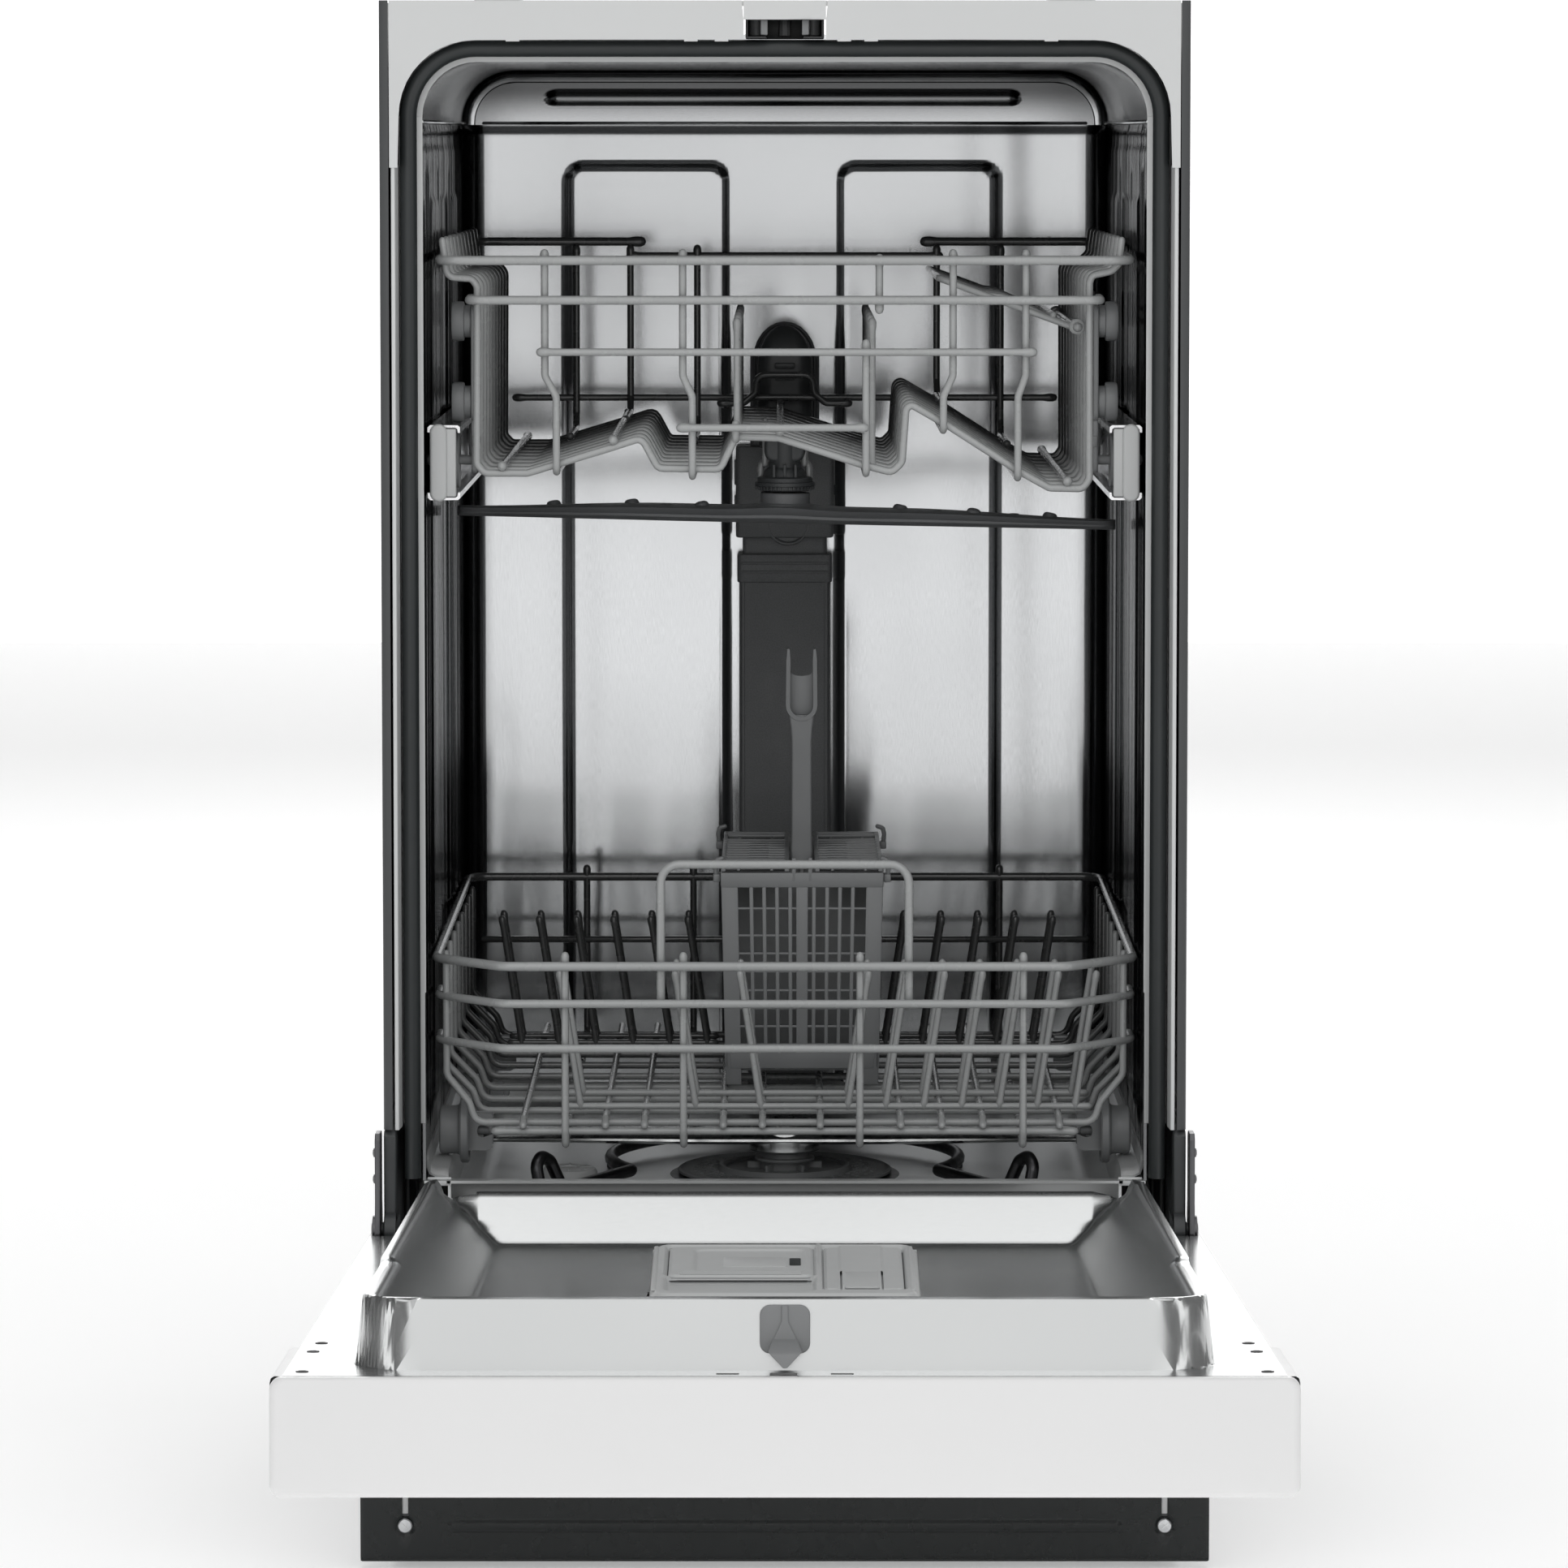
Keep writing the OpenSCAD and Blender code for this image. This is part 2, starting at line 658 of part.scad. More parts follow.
module lower_rack_basket() {
    x = 187;
    flat_x = 150;
    side_y = low_front + 38;
    upright_y = low_front + 4.8;
    back = 434;
    low = low_floor_z;
    top = low_rail_z;
    color([0.6, 0.61, 0.61]) {
        // Rails: the top one runs right round, the two below only across the front.
        bent_wire([
            [x, back, top + 3], [x, side_y, top], [flat_x, low_front, top],
            [-flat_x, low_front, top], [-x, side_y, top], [-x, back, top + 3]
        ], rim_d);
        rod([-x + 3, back + 2.8, top + 3], [x - 3, back + 2.8, top + 3], rim_d);
        for (z = [top - 44, top - 20])
            bent_wire([
                [x - 1, side_y + 24, z], [x - 1, side_y, z], [flat_x, low_front, z],
                [-flat_x, low_front, z], [-x + 1, side_y, z], [-x + 1, side_y + 24, z]
            ], rim_d - 0.5);
        rod([-178, back, top - 34], [178, back, top - 34], wire_d);
        // Cross wires, each with its two raised ends.
        for (y = [106:62:416])
            bent_wire([
                [-x, y, top - 3], [-x + 3, y, low + 34], [-158, y, low],
                [158, y, low], [x - 3, y, low + 34], [x, y, top - 3]
            ], wire_d);
        // Long floor wires, turned up at the front.
        for (px = [-117, -54, 40, 127]) {
            bent_wire([
                [px, upright_y, top + 5], [px, upright_y, low + 14],
                [px, upright_y + 14, low - wire_d - 0.2], [px, back - 8, low - wire_d - 0.2]
            ], wire_d);
        }
        for (px = [-140, -96, -75, -33, -12, 19, 62, 84, 106, 147])
            rod([px, upright_y + 11, low + wire_d + 0.2], [px, back - 8, low + wire_d + 0.2], wire_d);
        // Tines lean outwards: two rows at the front and two behind the basket.
        for (row = [72, 122]) {
            for (k = [0:6]) tine(34 + 20.4 * k, row, 1);
            for (px = [-13, -48, -110]) tine(px, row, -1);
        }
        for (row = [327, 355]) {
            for (k = [0:5]) tine(-44.6 - 21.4 * k, row, -1);
            for (k = [0:4]) tine(58 + 21.3 * k, row, 1);
        }
        // Handle loop.
        bent_wire([
            [-66, upright_y + 0.4, top - 20], [-66, upright_y + 0.4, top + 54],
            [66, upright_y + 0.4, top + 54], [66, upright_y + 0.4, top - 20]
        ], rim_d);
        // Axles and their clips.
        both_sides() for (y = [wheel_front_y, wheel_rear_y]) {
            translate([160, y, wheel_z]) rotate([0, 90, 0]) cylinder(h = 27.6, r = axle_r);
            block([160, y - 8, wheel_z - 7], [166, y + 8, wheel_z + 5]);
        }
    }
}

// One upright of a plate row, leaning to its side.
module tine(x, y, side) {
    rod([x, y, low_floor_z + 7.4], [x + side * 11, y - 4, low_floor_z + 81], 3.6);
}

module wheel(x_side, y) {
    color([0.45, 0.46, 0.47]) mirror([x_side < 0 ? 1 : 0, 0, 0])
        translate([0, y, wheel_z]) rotate([0, 90, 0]) difference() {
            union() {
                translate([0, 0, 177]) cylinder(h = 9.5, r = wheel_r);
                translate([0, 0, 170.5]) cylinder(h = 7.3, r = wheel_r + 5);
            }
            translate([0, 0, 160]) cylinder(h = 40, r = axle_r + 0.06);
        }
}

module wheel_front_left() { wheel(-1, wheel_front_y); }
module wheel_front_right() { wheel(1, wheel_front_y); }
module wheel_rear_left() { wheel(-1, wheel_rear_y); }
module wheel_rear_right() { wheel(1, wheel_rear_y); }

// Cutlery basket: an open box with a central wall and a tall lifting handle.
module cutlery_basket() {
    x0 = basket_x - basket_w / 2;
    x1 = basket_x + basket_w / 2;
    mid = (basket_y0 + basket_y1) / 2;
    grip_z = 426;
    t = 2;
    color([0.42, 0.43, 0.44]) {
        difference() {
            block([x0, basket_y0, basket_z0], [x1, basket_y1, basket_z1]);
            for (side = [0, 1], k = [0:3]) {
                cx = side == 0 ? x0 + t : basket_x + t / 2;
                cy = basket_y0 + t + k * 46.9;
                block([cx, cy, basket_z0 + t], [cx + 42, cy + 45, basket_z1 + 5]);
            }
        }
        block([basket_x - 1, mid - 7, basket_z1 - 2], [basket_x + 1, mid + 7, basket_z1 + 3]);
        block([basket_x - 6, mid - 6, basket_z1 + 2.8], [basket_x + 6, mid + 6, grip_z]);
        difference() {
            block([basket_x - 9, mid - 5, grip_z - 0.5], [basket_x + 9, mid + 5, grip_z + 40]);
            block([basket_x - 4.5, mid - 11, grip_z + 12], [basket_x + 4.5, mid + 14, grip_z + 42]);
        }
    }
}

module cutlery_lid_left() {
    color([0.4, 0.41, 0.42])
        block([basket_x - 44.5, basket_y0 + 0.5, lid_z], [basket_x - 7, basket_y1 - 0.5, lid_z + 3]);
}

module cutlery_lid_right() {
    color([0.4, 0.41, 0.42])
        block([basket_x + 7, basket_y0 + 0.5, lid_z], [basket_x + 44.5, basket_y1 - 0.5, lid_z + 3]);
}

// ---- Spray arms ----

// A flat hollow blade with round ends, a hub and a row of raised nozzles.
module spray_arm(z, reach, width, thick) {
    translate([0, arm_y, z]) {
        linear_extrude(height = thick)
            polygon([
                [reach, -8], [reach, 8], [40, width / 2], [-40, width / 2],
                [-reach, 8], [-reach, -8], [-40, -width / 2], [40, -width / 2]
            ]);
        for (side = [-1, 1], k = [1:4])
            translate([side * k * reach / 4.6, side * 5, thick - 0.1]) cylinder(h = 1.6, r = 3);
    }
}

module lower_spray_arm() {
    color("silver") {
        spray_arm(low_arm_z, 170, 44, 8);
        translate([0, arm_y, 184.5]) cylinder(h = 18, r = 20);
    }
}

module upper_spray_arm() {
    // At rest it has turned a little and hangs a little askew.
    color([0.23, 0.24, 0.25])
        translate([0, arm_y, up_arm_z]) rotate([0, 0.9, -6]) translate([0, -arm_y, 0]) {
            spray_arm(0, 185, 46, 9);
            translate([0, arm_y, 8.5]) cylinder(h = 8.6, r = 14);
        }
}

module upper_feed_pipe() {
    z = 580;
    color([0.25, 0.26, 0.27]) {
        translate([0, arm_y, up_arm_z + 17.8]) cylinder(h = 8, r = 17);
        translate([0, arm_y, up_arm_z + 25]) cylinder(h = z - up_arm_z - 18, r = 9);
        translate([0, arm_y, z]) rotate([-90, 0, 0]) cylinder(h = 195, r = 8);
        translate([0, 434, z - 9]) cylinder(h = 72, r = 16);
        translate([0, 440, z]) rotate([-90, 0, 0]) cylinder(h = 27.5, r = 9.5);
    }
}

// ---- Upper rack ----

module upper_rack_basket() {
    x = 183;
    front = 34;
    back = rack_back;
    upright_y = front + 4.8;
    top = up_rail_z;
    color([0.6, 0.61, 0.61]) {
        bent_wire([
            [x, back, top + 4], [x, front + 10, top], [x - 12, front, top],
            [-x + 12, front, top], [-x, front + 10, top], [-x, back, top + 4]
        ], rim_d);
        rod([-x + 3, back + 2.8, top + 4], [x - 3, back + 2.8, top + 4], wire_d);
        rod([-166, front, 667], [166, front, 667], rim_d);
        rod([-129, front, 640], [131, front, 640], wire_d);
        rod([-55, front, 600], [41, front, 600], wire_d);
        rod([-140, back + 2.8, 612], [140, back + 2.8, 612], wire_d);
        // Wavy cross wires.
        for (y = [44:52:404])
            bent_wire([
                [-178, y, top - 3], [-162, y, top - 18], [-160, y, 580], [-150, y, 574],
                [-76, y, 596], [-60, y, 578], [-34, y, 578], [-27, y, 596], [0, y, 596],
                [44, y, 578], [58, y, 578], [64, y, 604], [76, y, 600], [140, y, 567],
                [156, y, 567], [160, y, 580], [162, y, top - 18], [178, y, top - 3]
            ], wire_d);
        // Front uprights.
        for (p = [[-126, 582], [-54, 576], [88, 592], [127, 574]])
            rod([p[0], upright_y, p[1]], [p[0], upright_y, top], wire_d);
        rod([50, upright_y, 664], [50, upright_y, top], wire_d);
        // Long wires under the wave.
        for (p = [[-152, 569.5], [-47, 573.6], [51, 573.6], [148, 562.6]])
            rod([p[0], upright_y + 4.4, p[1]], [p[0], back, p[1]], wire_d);
        // Short tines.
        for (k = [0:5]) {
            rod([-26, 58 + 60 * k, 601], [-26, 58 + 60 * k, 655], 3.6);
            rod([46, 58 + 60 * k, 583], [46, 58 + 60 * k, 655], 3.6);
        }
        // Hinge wire of the cup shelf.
        translate([shelf_pivot[0], 62, shelf_pivot[2]])
            rotate([-90, 0, 0]) cylinder(h = 290, r = shelf_pin_r);
    }
}

module upper_rack_rollers() {
    color([0.5, 0.51, 0.52]) both_sides() {
        for (y = [70, 330]) {
            for (z = [612, 655])
                translate([164.5, y, z]) rotate([0, 90, 0]) cylinder(h = 13, r = 10.5);
            block([164.3, y - 9, 602], [167.3, y + 9, 664]);
            block([164.3, y - 6, 574], [167.3, y + 6, 603]);
            translate([165, y, 581]) rotate([0, 90, 0]) cylinder(h = 9, r = 2.6);
            translate([173.6, y, 581]) rotate([0, 90, 0]) cylinder(h = 6.9, r = 15);
        }
    }
}

// Two side channels in which the rack's rollers run.
module upper_rails() {
    y0 = 36;
    y1 = 450;
    color("silver") both_sides() {
        block([181.3, y0, rail_z0], [182.7, y1, rail_z0 + rail_h]);
        block([172, y0 + 2, rail_z0], [189.3, y1, rail_z0 + 1.4]);
        block([172, y0 + 2, rail_z0 + rail_h - 1.4], [189.3, y1, rail_z0 + rail_h]);
        translate([183.3, y0 - 5, rail_z0 + rail_h / 2]) rotate([-90, 0, 0])
            linear_extrude(height = 7)
                polygon(round_rect(9, -rail_h / 2 - 0.5, rail_h / 2 + 0.5, 4.4));
    }
}

// It slopes up towards the middle of the rack.
module cup_shelf() {
    p = shelf_pivot;
    color([0.6, 0.61, 0.61]) translate(p) rotate([0, shelf_tilt, 0]) translate(-p) {
        for (y = [70, 344])
            difference() {
                translate([p[0], y, p[2]]) rotate([-90, 0, 0]) cylinder(h = 6, r = 4.2);
                translate([p[0], y - 5, p[2]]) rotate([-90, 0, 0])
                    cylinder(h = 20, r = shelf_pin_r + 0.06);
            }
        for (y = [73, 347])
            rod([p[0] - 3.4, y, p[2] - 1], [78, y, p[2] - 1], 3.6);
        rod([78, 72, p[2] - 1], [78, 348, p[2] - 1], 3.6);
        for (k = [0:4])
            rod([79.9, 118 + 46 * k, p[2] - 1], [p[0] - 14, 118 + 46 * k, p[2] - 1], 3);
        rod([p[0] - 14, 72, p[2] + 1.5], [p[0] - 14, 348, p[2] + 1.5], 3.2);
    }
}

tub_side_walls();
tub_back_wall();
tub_cap();
tub_floor();
front_frame();
door_gasket();
side_panels();
top_crossbar();
door_lock();
lock_jaw_left();
lock_jaw_right();
base_pan();
base_corners();
toe_kick();
toe_kick_screws();
foot_front_left();
foot_front_right();
foot_rear_left();
foot_rear_right();
sump();
filter();
float();
heater();
circulation_pump();
drain_pump();
inlet_valve();
junction_box();
hinge_springs();
rear_water_column();
rail_rollers();
countertop_brackets();
insulation_blanket();
rear_frame();
door_outer_panel();
door_liner();
door_console();
control_board();
dispenser_housing();
detergent_lid();
rinse_aid_flap();
latch_hook();
hinge_arms();
power_button();
program_button();
start_button();
lower_rack_basket();
wheel_front_left();
wheel_front_right();
wheel_rear_left();
wheel_rear_right();
cutlery_basket();
cutlery_lid_left();
cutlery_lid_right();
lower_spray_arm();
upper_rack_basket();
upper_rack_rollers();
cup_shelf();
upper_feed_pipe();
upper_spray_arm();
upper_rails();
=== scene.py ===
import json
import math

import bmesh
import bpy
from mathutils import Matrix, Vector


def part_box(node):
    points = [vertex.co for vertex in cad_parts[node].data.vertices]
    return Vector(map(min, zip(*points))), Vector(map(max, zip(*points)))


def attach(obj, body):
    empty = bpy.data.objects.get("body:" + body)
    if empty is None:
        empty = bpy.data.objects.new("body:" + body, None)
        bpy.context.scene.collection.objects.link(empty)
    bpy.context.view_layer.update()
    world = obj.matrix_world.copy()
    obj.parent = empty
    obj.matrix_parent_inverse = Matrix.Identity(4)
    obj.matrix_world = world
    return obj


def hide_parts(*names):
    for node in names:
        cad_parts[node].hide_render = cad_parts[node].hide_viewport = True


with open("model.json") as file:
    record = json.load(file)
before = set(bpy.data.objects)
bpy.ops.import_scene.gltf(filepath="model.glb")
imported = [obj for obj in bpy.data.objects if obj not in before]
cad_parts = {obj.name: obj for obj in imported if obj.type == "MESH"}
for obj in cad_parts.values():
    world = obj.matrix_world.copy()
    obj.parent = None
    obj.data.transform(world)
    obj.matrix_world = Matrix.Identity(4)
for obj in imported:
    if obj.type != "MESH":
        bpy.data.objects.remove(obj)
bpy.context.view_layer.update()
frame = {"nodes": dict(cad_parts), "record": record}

MM = 0.001
SIDES = (-1, 1)
CORNERS = (("front_left", -1, 0), ("front_right", 1, 0), ("rear_left", -1, 1), ("rear_right", 1, 1))
UP, REARWARD = (0, 0, 1), (0, 1, 0)


# ---------------------------------------------------------------- materials

NOISE_SPAN = (0.3, 0.7)
MIX_AMOUNT, MIX_FIRST, MIX_SECOND, MIX_RESULT = 0, 6, 7, 2
PLEAT_GRAIN = (8, 26, 0.5)


def surface(name, color, rough, metallic=0.0, tint=0.05, spread=0.05, grain=(1, 1, 1), grain_scale=90,
            bump=0.15, bump_scale=900, depth=0.05, coat=0.0, waves=0.0, speckle=0.0, painted_shade=None,
            edge=1.0, gloss=0.5, pleats=0.0):
    """A procedural finish: colour and roughness drift across it, fine bump gives its texture, and its colour
    can be darkened by position along one axis as painted shade.
    """
    made = bpy.data.materials.new(name)
    made.use_nodes = True
    nodes, links = made.node_tree.nodes, made.node_tree.links
    shader = nodes["Principled BSDF"]
    shader.inputs["Metallic"].default_value = metallic
    shader.inputs["Coat Weight"].default_value = coat
    shader.inputs["Coat Roughness"].default_value = 0.08
    shader.inputs["Specular IOR Level"].default_value = gloss
    shader.inputs["Specular Tint"].default_value = (edge, edge, edge, 1)
    place = nodes.new("ShaderNodeTexCoord")
    stretch = nodes.new("ShaderNodeMapping")
    stretch.inputs["Scale"].default_value = grain
    links.new(place.outputs["Object"], stretch.inputs["Vector"])

    def noise(scale, detail, source):
        node = nodes.new("ShaderNodeTexNoise")
        node.inputs["Scale"].default_value = scale
        node.inputs["Detail"].default_value = detail
        links.new(source, node.inputs["Vector"])
        return node.outputs["Fac"]

    def between(value, low, high):
        node = nodes.new("ShaderNodeMapRange")
        node.inputs["From Min"].default_value, node.inputs["From Max"].default_value = NOISE_SPAN
        node.inputs["To Min"].default_value = low
        node.inputs["To Max"].default_value = high
        links.new(value, node.inputs["Value"])
        return node.outputs["Result"]

    def raised(height, strength, distance, below=None):
        node = nodes.new("ShaderNodeBump")
        node.inputs["Strength"].default_value = strength
        node.inputs["Distance"].default_value = distance * MM
        links.new(height, node.inputs["Height"])
        if below:
            links.new(below, node.inputs["Normal"])
        return node.outputs["Normal"]

    def blend(amount, over):
        """A colour mix whose second colour is given, ready for its first."""
        node = nodes.new("ShaderNodeMix")
        node.data_type = "RGBA"
        links.new(amount, node.inputs[MIX_AMOUNT])
        node.inputs[MIX_SECOND].default_value = over + [1]
        links.new(node.outputs[MIX_RESULT], shader.inputs["Base Color"])
        return node

    whole = place.outputs["Object"]
    cloud = noise(6, 3, whole)
    fine = noise(grain_scale, 4, stretch.outputs["Vector"])
    mix = blend(between(cloud, 0.0, 1.0), [min(1, c * (1 + tint)) for c in color])
    mix.inputs[MIX_FIRST].default_value = [c * (1 - tint) for c in color] + [1]
    if speckle:
        dots = blend(between(noise(bump_scale, 2, whole), 0.0, speckle),
                     [min(1, c * 1.8 + 0.02) for c in color])
        links.new(mix.outputs[MIX_RESULT], dots.inputs[MIX_FIRST])
    # Painted shade: the colour is darkened by position along one axis, standing in for shadow and dark
    # reflections; it is not a colour of the material.
    if painted_shade:
        axis, near, far, darker = painted_shade
        parts, size = nodes.new("ShaderNodeSeparateXYZ"), nodes.new("ShaderNodeMath")
        size.operation = "ABSOLUTE"
        links.new(whole, parts.inputs["Vector"])
        links.new(parts.outputs[axis], size.inputs[0])
        away = nodes.new("ShaderNodeMapRange")
        away.interpolation_type = "SMOOTHSTEP"
        away.inputs["From Min"].default_value = near
        away.inputs["From Max"].default_value = far
        links.new(size.outputs[0], away.inputs["Value"])
        shaded = blend(away.outputs["Result"], [c * darker for c in color])
        links.new(mix.outputs[MIX_RESULT], shaded.inputs[MIX_FIRST])
    links.new(between(fine, max(0.02, rough - spread), rough + spread), shader.inputs["Roughness"])
    normal = raised(noise(bump_scale, 3, stretch.outputs["Vector"]), bump, depth)
    if waves:
        normal = raised(noise(5, 1, whole), 1.0, waves, normal)
    if pleats:
        upright = nodes.new("ShaderNodeMapping")
        upright.inputs["Scale"].default_value = PLEAT_GRAIN
        links.new(whole, upright.inputs["Vector"])
        normal = raised(noise(1, 2, upright.outputs["Vector"]), 1.0, pleats, normal)
    links.new(normal, shader.inputs["Normal"])
    return made


BRUSHED = (60, 60, 2)
FINISH = {
    "stainless": surface("stainless", (0.66, 0.67, 0.67), 0.16, 1.0, tint=0.03, spread=0.04,
                         grain=BRUSHED, bump=0.12, depth=0.02, waves=2.0),
    "bright_frame": surface("bright_frame", (0.66, 0.67, 0.67), 0.38, tint=0.02, bump_scale=1500),
    "side_panel_grey": surface("side_panel_grey", (0.062, 0.065, 0.067), 0.42, tint=0.06, bump=0.3,
                               bump_scale=1300),
    "toe_black": surface("toe_black", (0.004, 0.006, 0.006), 0.27, spread=0.02, gloss=0.4, tint=0.1,
                         bump=0.08, bump_scale=1500, depth=0.02),
    "door_white": surface("door_white", (0.84, 0.84, 0.84), 0.3, tint=0.01, spread=0.015, bump=0.06,
                          bump_scale=1500, depth=0.02, coat=0.3),
    "console_white": surface("console_white", (0.85, 0.85, 0.85), 0.35, tint=0.01, bump=0.15,
                             bump_scale=1600),
    "button_grey": surface("button_grey", (0.55, 0.56, 0.56), 0.35, bump_scale=1600),
    "seal_rubber": surface("seal_rubber", (0.026, 0.03, 0.031), 0.45, tint=0.1, bump=0.3, bump_scale=1200),
    "black_plastic": surface("black_plastic", (0.014, 0.015, 0.016), 0.42, tint=0.1, bump=0.35,
                             bump_scale=1400),
    "mid_grey_plastic": surface("mid_grey_plastic", (0.22, 0.226, 0.23), 0.42, bump=0.3, bump_scale=1500),
    "light_grey_plastic": surface("light_grey_plastic", (0.52, 0.53, 0.53), 0.42, bump=0.3,
                                  bump_scale=1500),
    "dark_grey_plastic": surface("dark_grey_plastic", (0.052, 0.056, 0.058), 0.42, tint=0.08, bump=0.35,
                                 bump_scale=1400),
    "column_grey": surface("column_grey", (0.135, 0.14, 0.143), 0.55, tint=0.08, bump=0.5,
                           bump_scale=1400, speckle=0.3),
    # Painted shade: the rack wires turn darker towards the rear, standing in for the shadow deep in the tub;
    # the coating itself is one grey.
    "rack_coating": surface("rack_coating", (0.38, 0.39, 0.39), 0.26, tint=0.05, bump=0.2,
                            bump_scale=500, coat=0.5, painted_shade=("Y", 0.1, 0.36, 0.16)),
    "chrome_rail": surface("chrome_rail", (0.8, 0.8, 0.81), 0.08, 1.0, tint=0.02, spread=0.03,
                           grain=(2, 40, 40), bump=0.2, bump_scale=120, depth=0.4, waves=3.0),
    "heater_tube": surface("heater_tube", (0.1, 0.1, 0.105), 0.32, 1.0, tint=0.3, bump_scale=500),
    "zinc_steel": surface("zinc_steel", (0.58, 0.59, 0.6), 0.3, 1.0, tint=0.1, spread=0.1,
                          grain_scale=30, bump_scale=600),
    "bitumen_mat": surface("bitumen_mat", (0.035, 0.035, 0.037), 0.75, tint=0.3, bump=0.8,
                           bump_scale=260, depth=0.6, speckle=0.25),
    "board_green": surface("board_green", (0.02, 0.14, 0.06), 0.4, tint=0.2),
}
SATIN = surface("satin_liner", (0.64, 0.65, 0.65), 0.2, 1.0, tint=0.02, spread=0.04, grain=(3, 60, 60),
                bump=0.12, depth=0.02, waves=0.6)
PRESSED = dict(color=(0.62, 0.63, 0.64), rough=0.15, metallic=1.0, tint=0.03, spread=0.04, grain=BRUSHED,
               bump=0.12, depth=0.02, waves=2.0, edge=0.3)
# Painted shade: the side walls are darker than the back wall, standing in for the dark room they reflect; the
# steel is the same all round.
SHADE_PAINTED_WALLS = surface("walls_shade_painted", painted_shade=("X", 0.172, 0.188, 0.3), pleats=9.0, **PRESSED)
# Painted shade: the cap turns darker above the seam, standing in for the dark ceiling it reflects; the steel
# is the same as the walls.
SHADE_PAINTED_CAP = surface("cap_shade_painted", painted_shade=("Z", 0.758, 0.782, 0.2), **PRESSED)
FLOOR_STEEL = surface("floor_steel", (0.66, 0.67, 0.67), 0.36, 0.7, tint=0.03, spread=0.05, grain=(60, 3, 60),
                      bump=0.12, depth=0.02, waves=1.0)
ARM_GREY = surface("arm_grey", (0.15, 0.155, 0.16), 0.45, bump=0.3, bump_scale=1500)
ARM_STEEL = surface("arm_steel", (0.12, 0.12, 0.125), 0.36, 1.0, tint=0.15, spread=0.08, grain_scale=30)
for subpart in frame["record"]["subparts"]:
    cad_mesh = frame["nodes"][subpart["node"]].data
    cad_mesh.materials.clear()
    cad_mesh.materials.append(FINISH[subpart["material_slot"]])


# ---------------------------------------------------------------- shapes, in millimetres

class Shape:
    """Gathers the faces of one piece, in millimetres in the shared frame."""

    def __init__(self):
        self.points = []
        self.faces = []

    def add(self, points, faces):
        """More places, and faces numbered from the first of them."""
        start = len(self.points)
        self.points += [Vector(p) for p in points]
        self.faces += [[start + i for i in face] for face in faces]

    def loft(self, rings, closed=True, caps=True):
        """A skin through the rings, each with the same number of places."""
        n = len(rings[0])
        last = (len(rings) - 1) * n
        faces = []
        for r in range(len(rings) - 1):
            for k in range(n if closed else n - 1):
                j = (k + 1) % n
                faces.append((r * n + k, r * n + j, r * n + n + j, r * n + n + k))
        if caps:
            faces += [tuple(range(n)), tuple(last + k for k in range(n))]
        self.add([p for ring in rings for p in ring], faces)

    def ribbon(self, rings):
        """An open strip through the rings."""
        self.loft(rings, closed=False, caps=False)

    def moved(self, matrix):
        """The same shape after a matrix."""
        made = Shape()
        made.add([matrix @ p for p in self.points], self.faces)
        return made

    def join(self, *others):
        """Takes in the faces of other shapes."""
        for other in others:
            self.add(other.points, other.faces)
        return self


def on_xy(a, b, h):
    return a, b, h


def on_xz(a, b, h):
    return a, h, b


def on_yz(a, b, h):
    return h, a, b


def quarter(n, first=0):
    """The angles of a quarter turn in n steps."""
    return [math.pi / 2 * k / n for k in range(first, n + 1)]


def round_rect(a0, a1, b0, b1, r, steps=5):
    """Outline of a rectangle with rounded corners, anticlockwise."""
    outline = []
    for q, (ca, cb) in enumerate(((a1 - r, b1 - r), (a0 + r, b1 - r), (a0 + r, b0 + r), (a1 - r, b0 + r))):
        for k in range(steps + 1):
            t = math.pi / 2 * (q + k / steps)
            outline.append((ca + r * math.cos(t), cb + r * math.sin(t)))
    return outline


def inset(outline, d):
    """The outline moved inwards by d."""
    made = []
    n = len(outline)
    for i in range(n):
        (ax, ay), (bx, by), (cx, cy) = outline[i - 1], outline[i], outline[(i + 1) % n]
        ux, uy = bx - ax, by - ay
        vx, vy = cx - bx, cy - by
        lu, lv = math.hypot(ux, uy) or 1, math.hypot(vx, vy) or 1
        nx, ny = -uy / lu - vy / lv, ux / lu + vx / lv
        size = math.hypot(nx, ny) or 1
        miter = d / max(0.35, size / 2)
        made.append((bx + nx / size * miter, by + ny / size * miter))
    return made


def slab(shape, outline, low, high, edge=0.5, to=on_xy, steps=3):
    """A plate of that outline from low to high, with rounded edges."""
    rings = []
    turns = quarter(steps)
    for t in turns:
        cut, rise = edge * (1 - math.sin(t)), edge * (1 - math.cos(t))
        rings.append([to(a, b, low + rise) for a, b in inset(outline, cut)])
    for t in reversed(turns):
        cut, rise = edge * (1 - math.sin(t)), edge * (1 - math.cos(t))
        rings.append([to(a, b, high - rise) for a, b in inset(outline, cut)])
    shape.loft(rings)


def block(shape, low, high, edge=0.6, steps=2):
    """A box with rounded edges and corners."""
    edge = min([edge] + [0.49 * (h - l) for l, h in zip(low, high)])
    slab(shape, round_rect(low[0], high[0], low[1], high[1], edge, steps), low[2], high[2], edge, steps=steps)


def brick(low, high, edge=0.6):
    """A shape holding one rounded box."""
    made = Shape()
    block(made, low, high, edge)
    return made


def flank(shape, side, low, high, edge=0.6):
    """A rounded box given for the right-hand side, placed on either side."""
    left, right = sorted((side * low[0], side * high[0]))
    block(shape, (left, *low[1:]), (right, *high[1:]), edge)


def plate(shape, side, outline, near, far, edge=0.5):
    """A plate of a (y, z) outline, on either side, between two distances from the middle."""
    slab(shape, outline, *sorted((side * near, side * far)), edge, on_yz)


def spin(shape, part, count, centre, axis="Z"):
    """Adds the part count times, evenly turned about an axis through the centre."""
    for k in range(count):
        shape.join(part.moved(Matrix.Translation(centre) @ Matrix.Rotation(math.tau * k / count, 4, axis)))


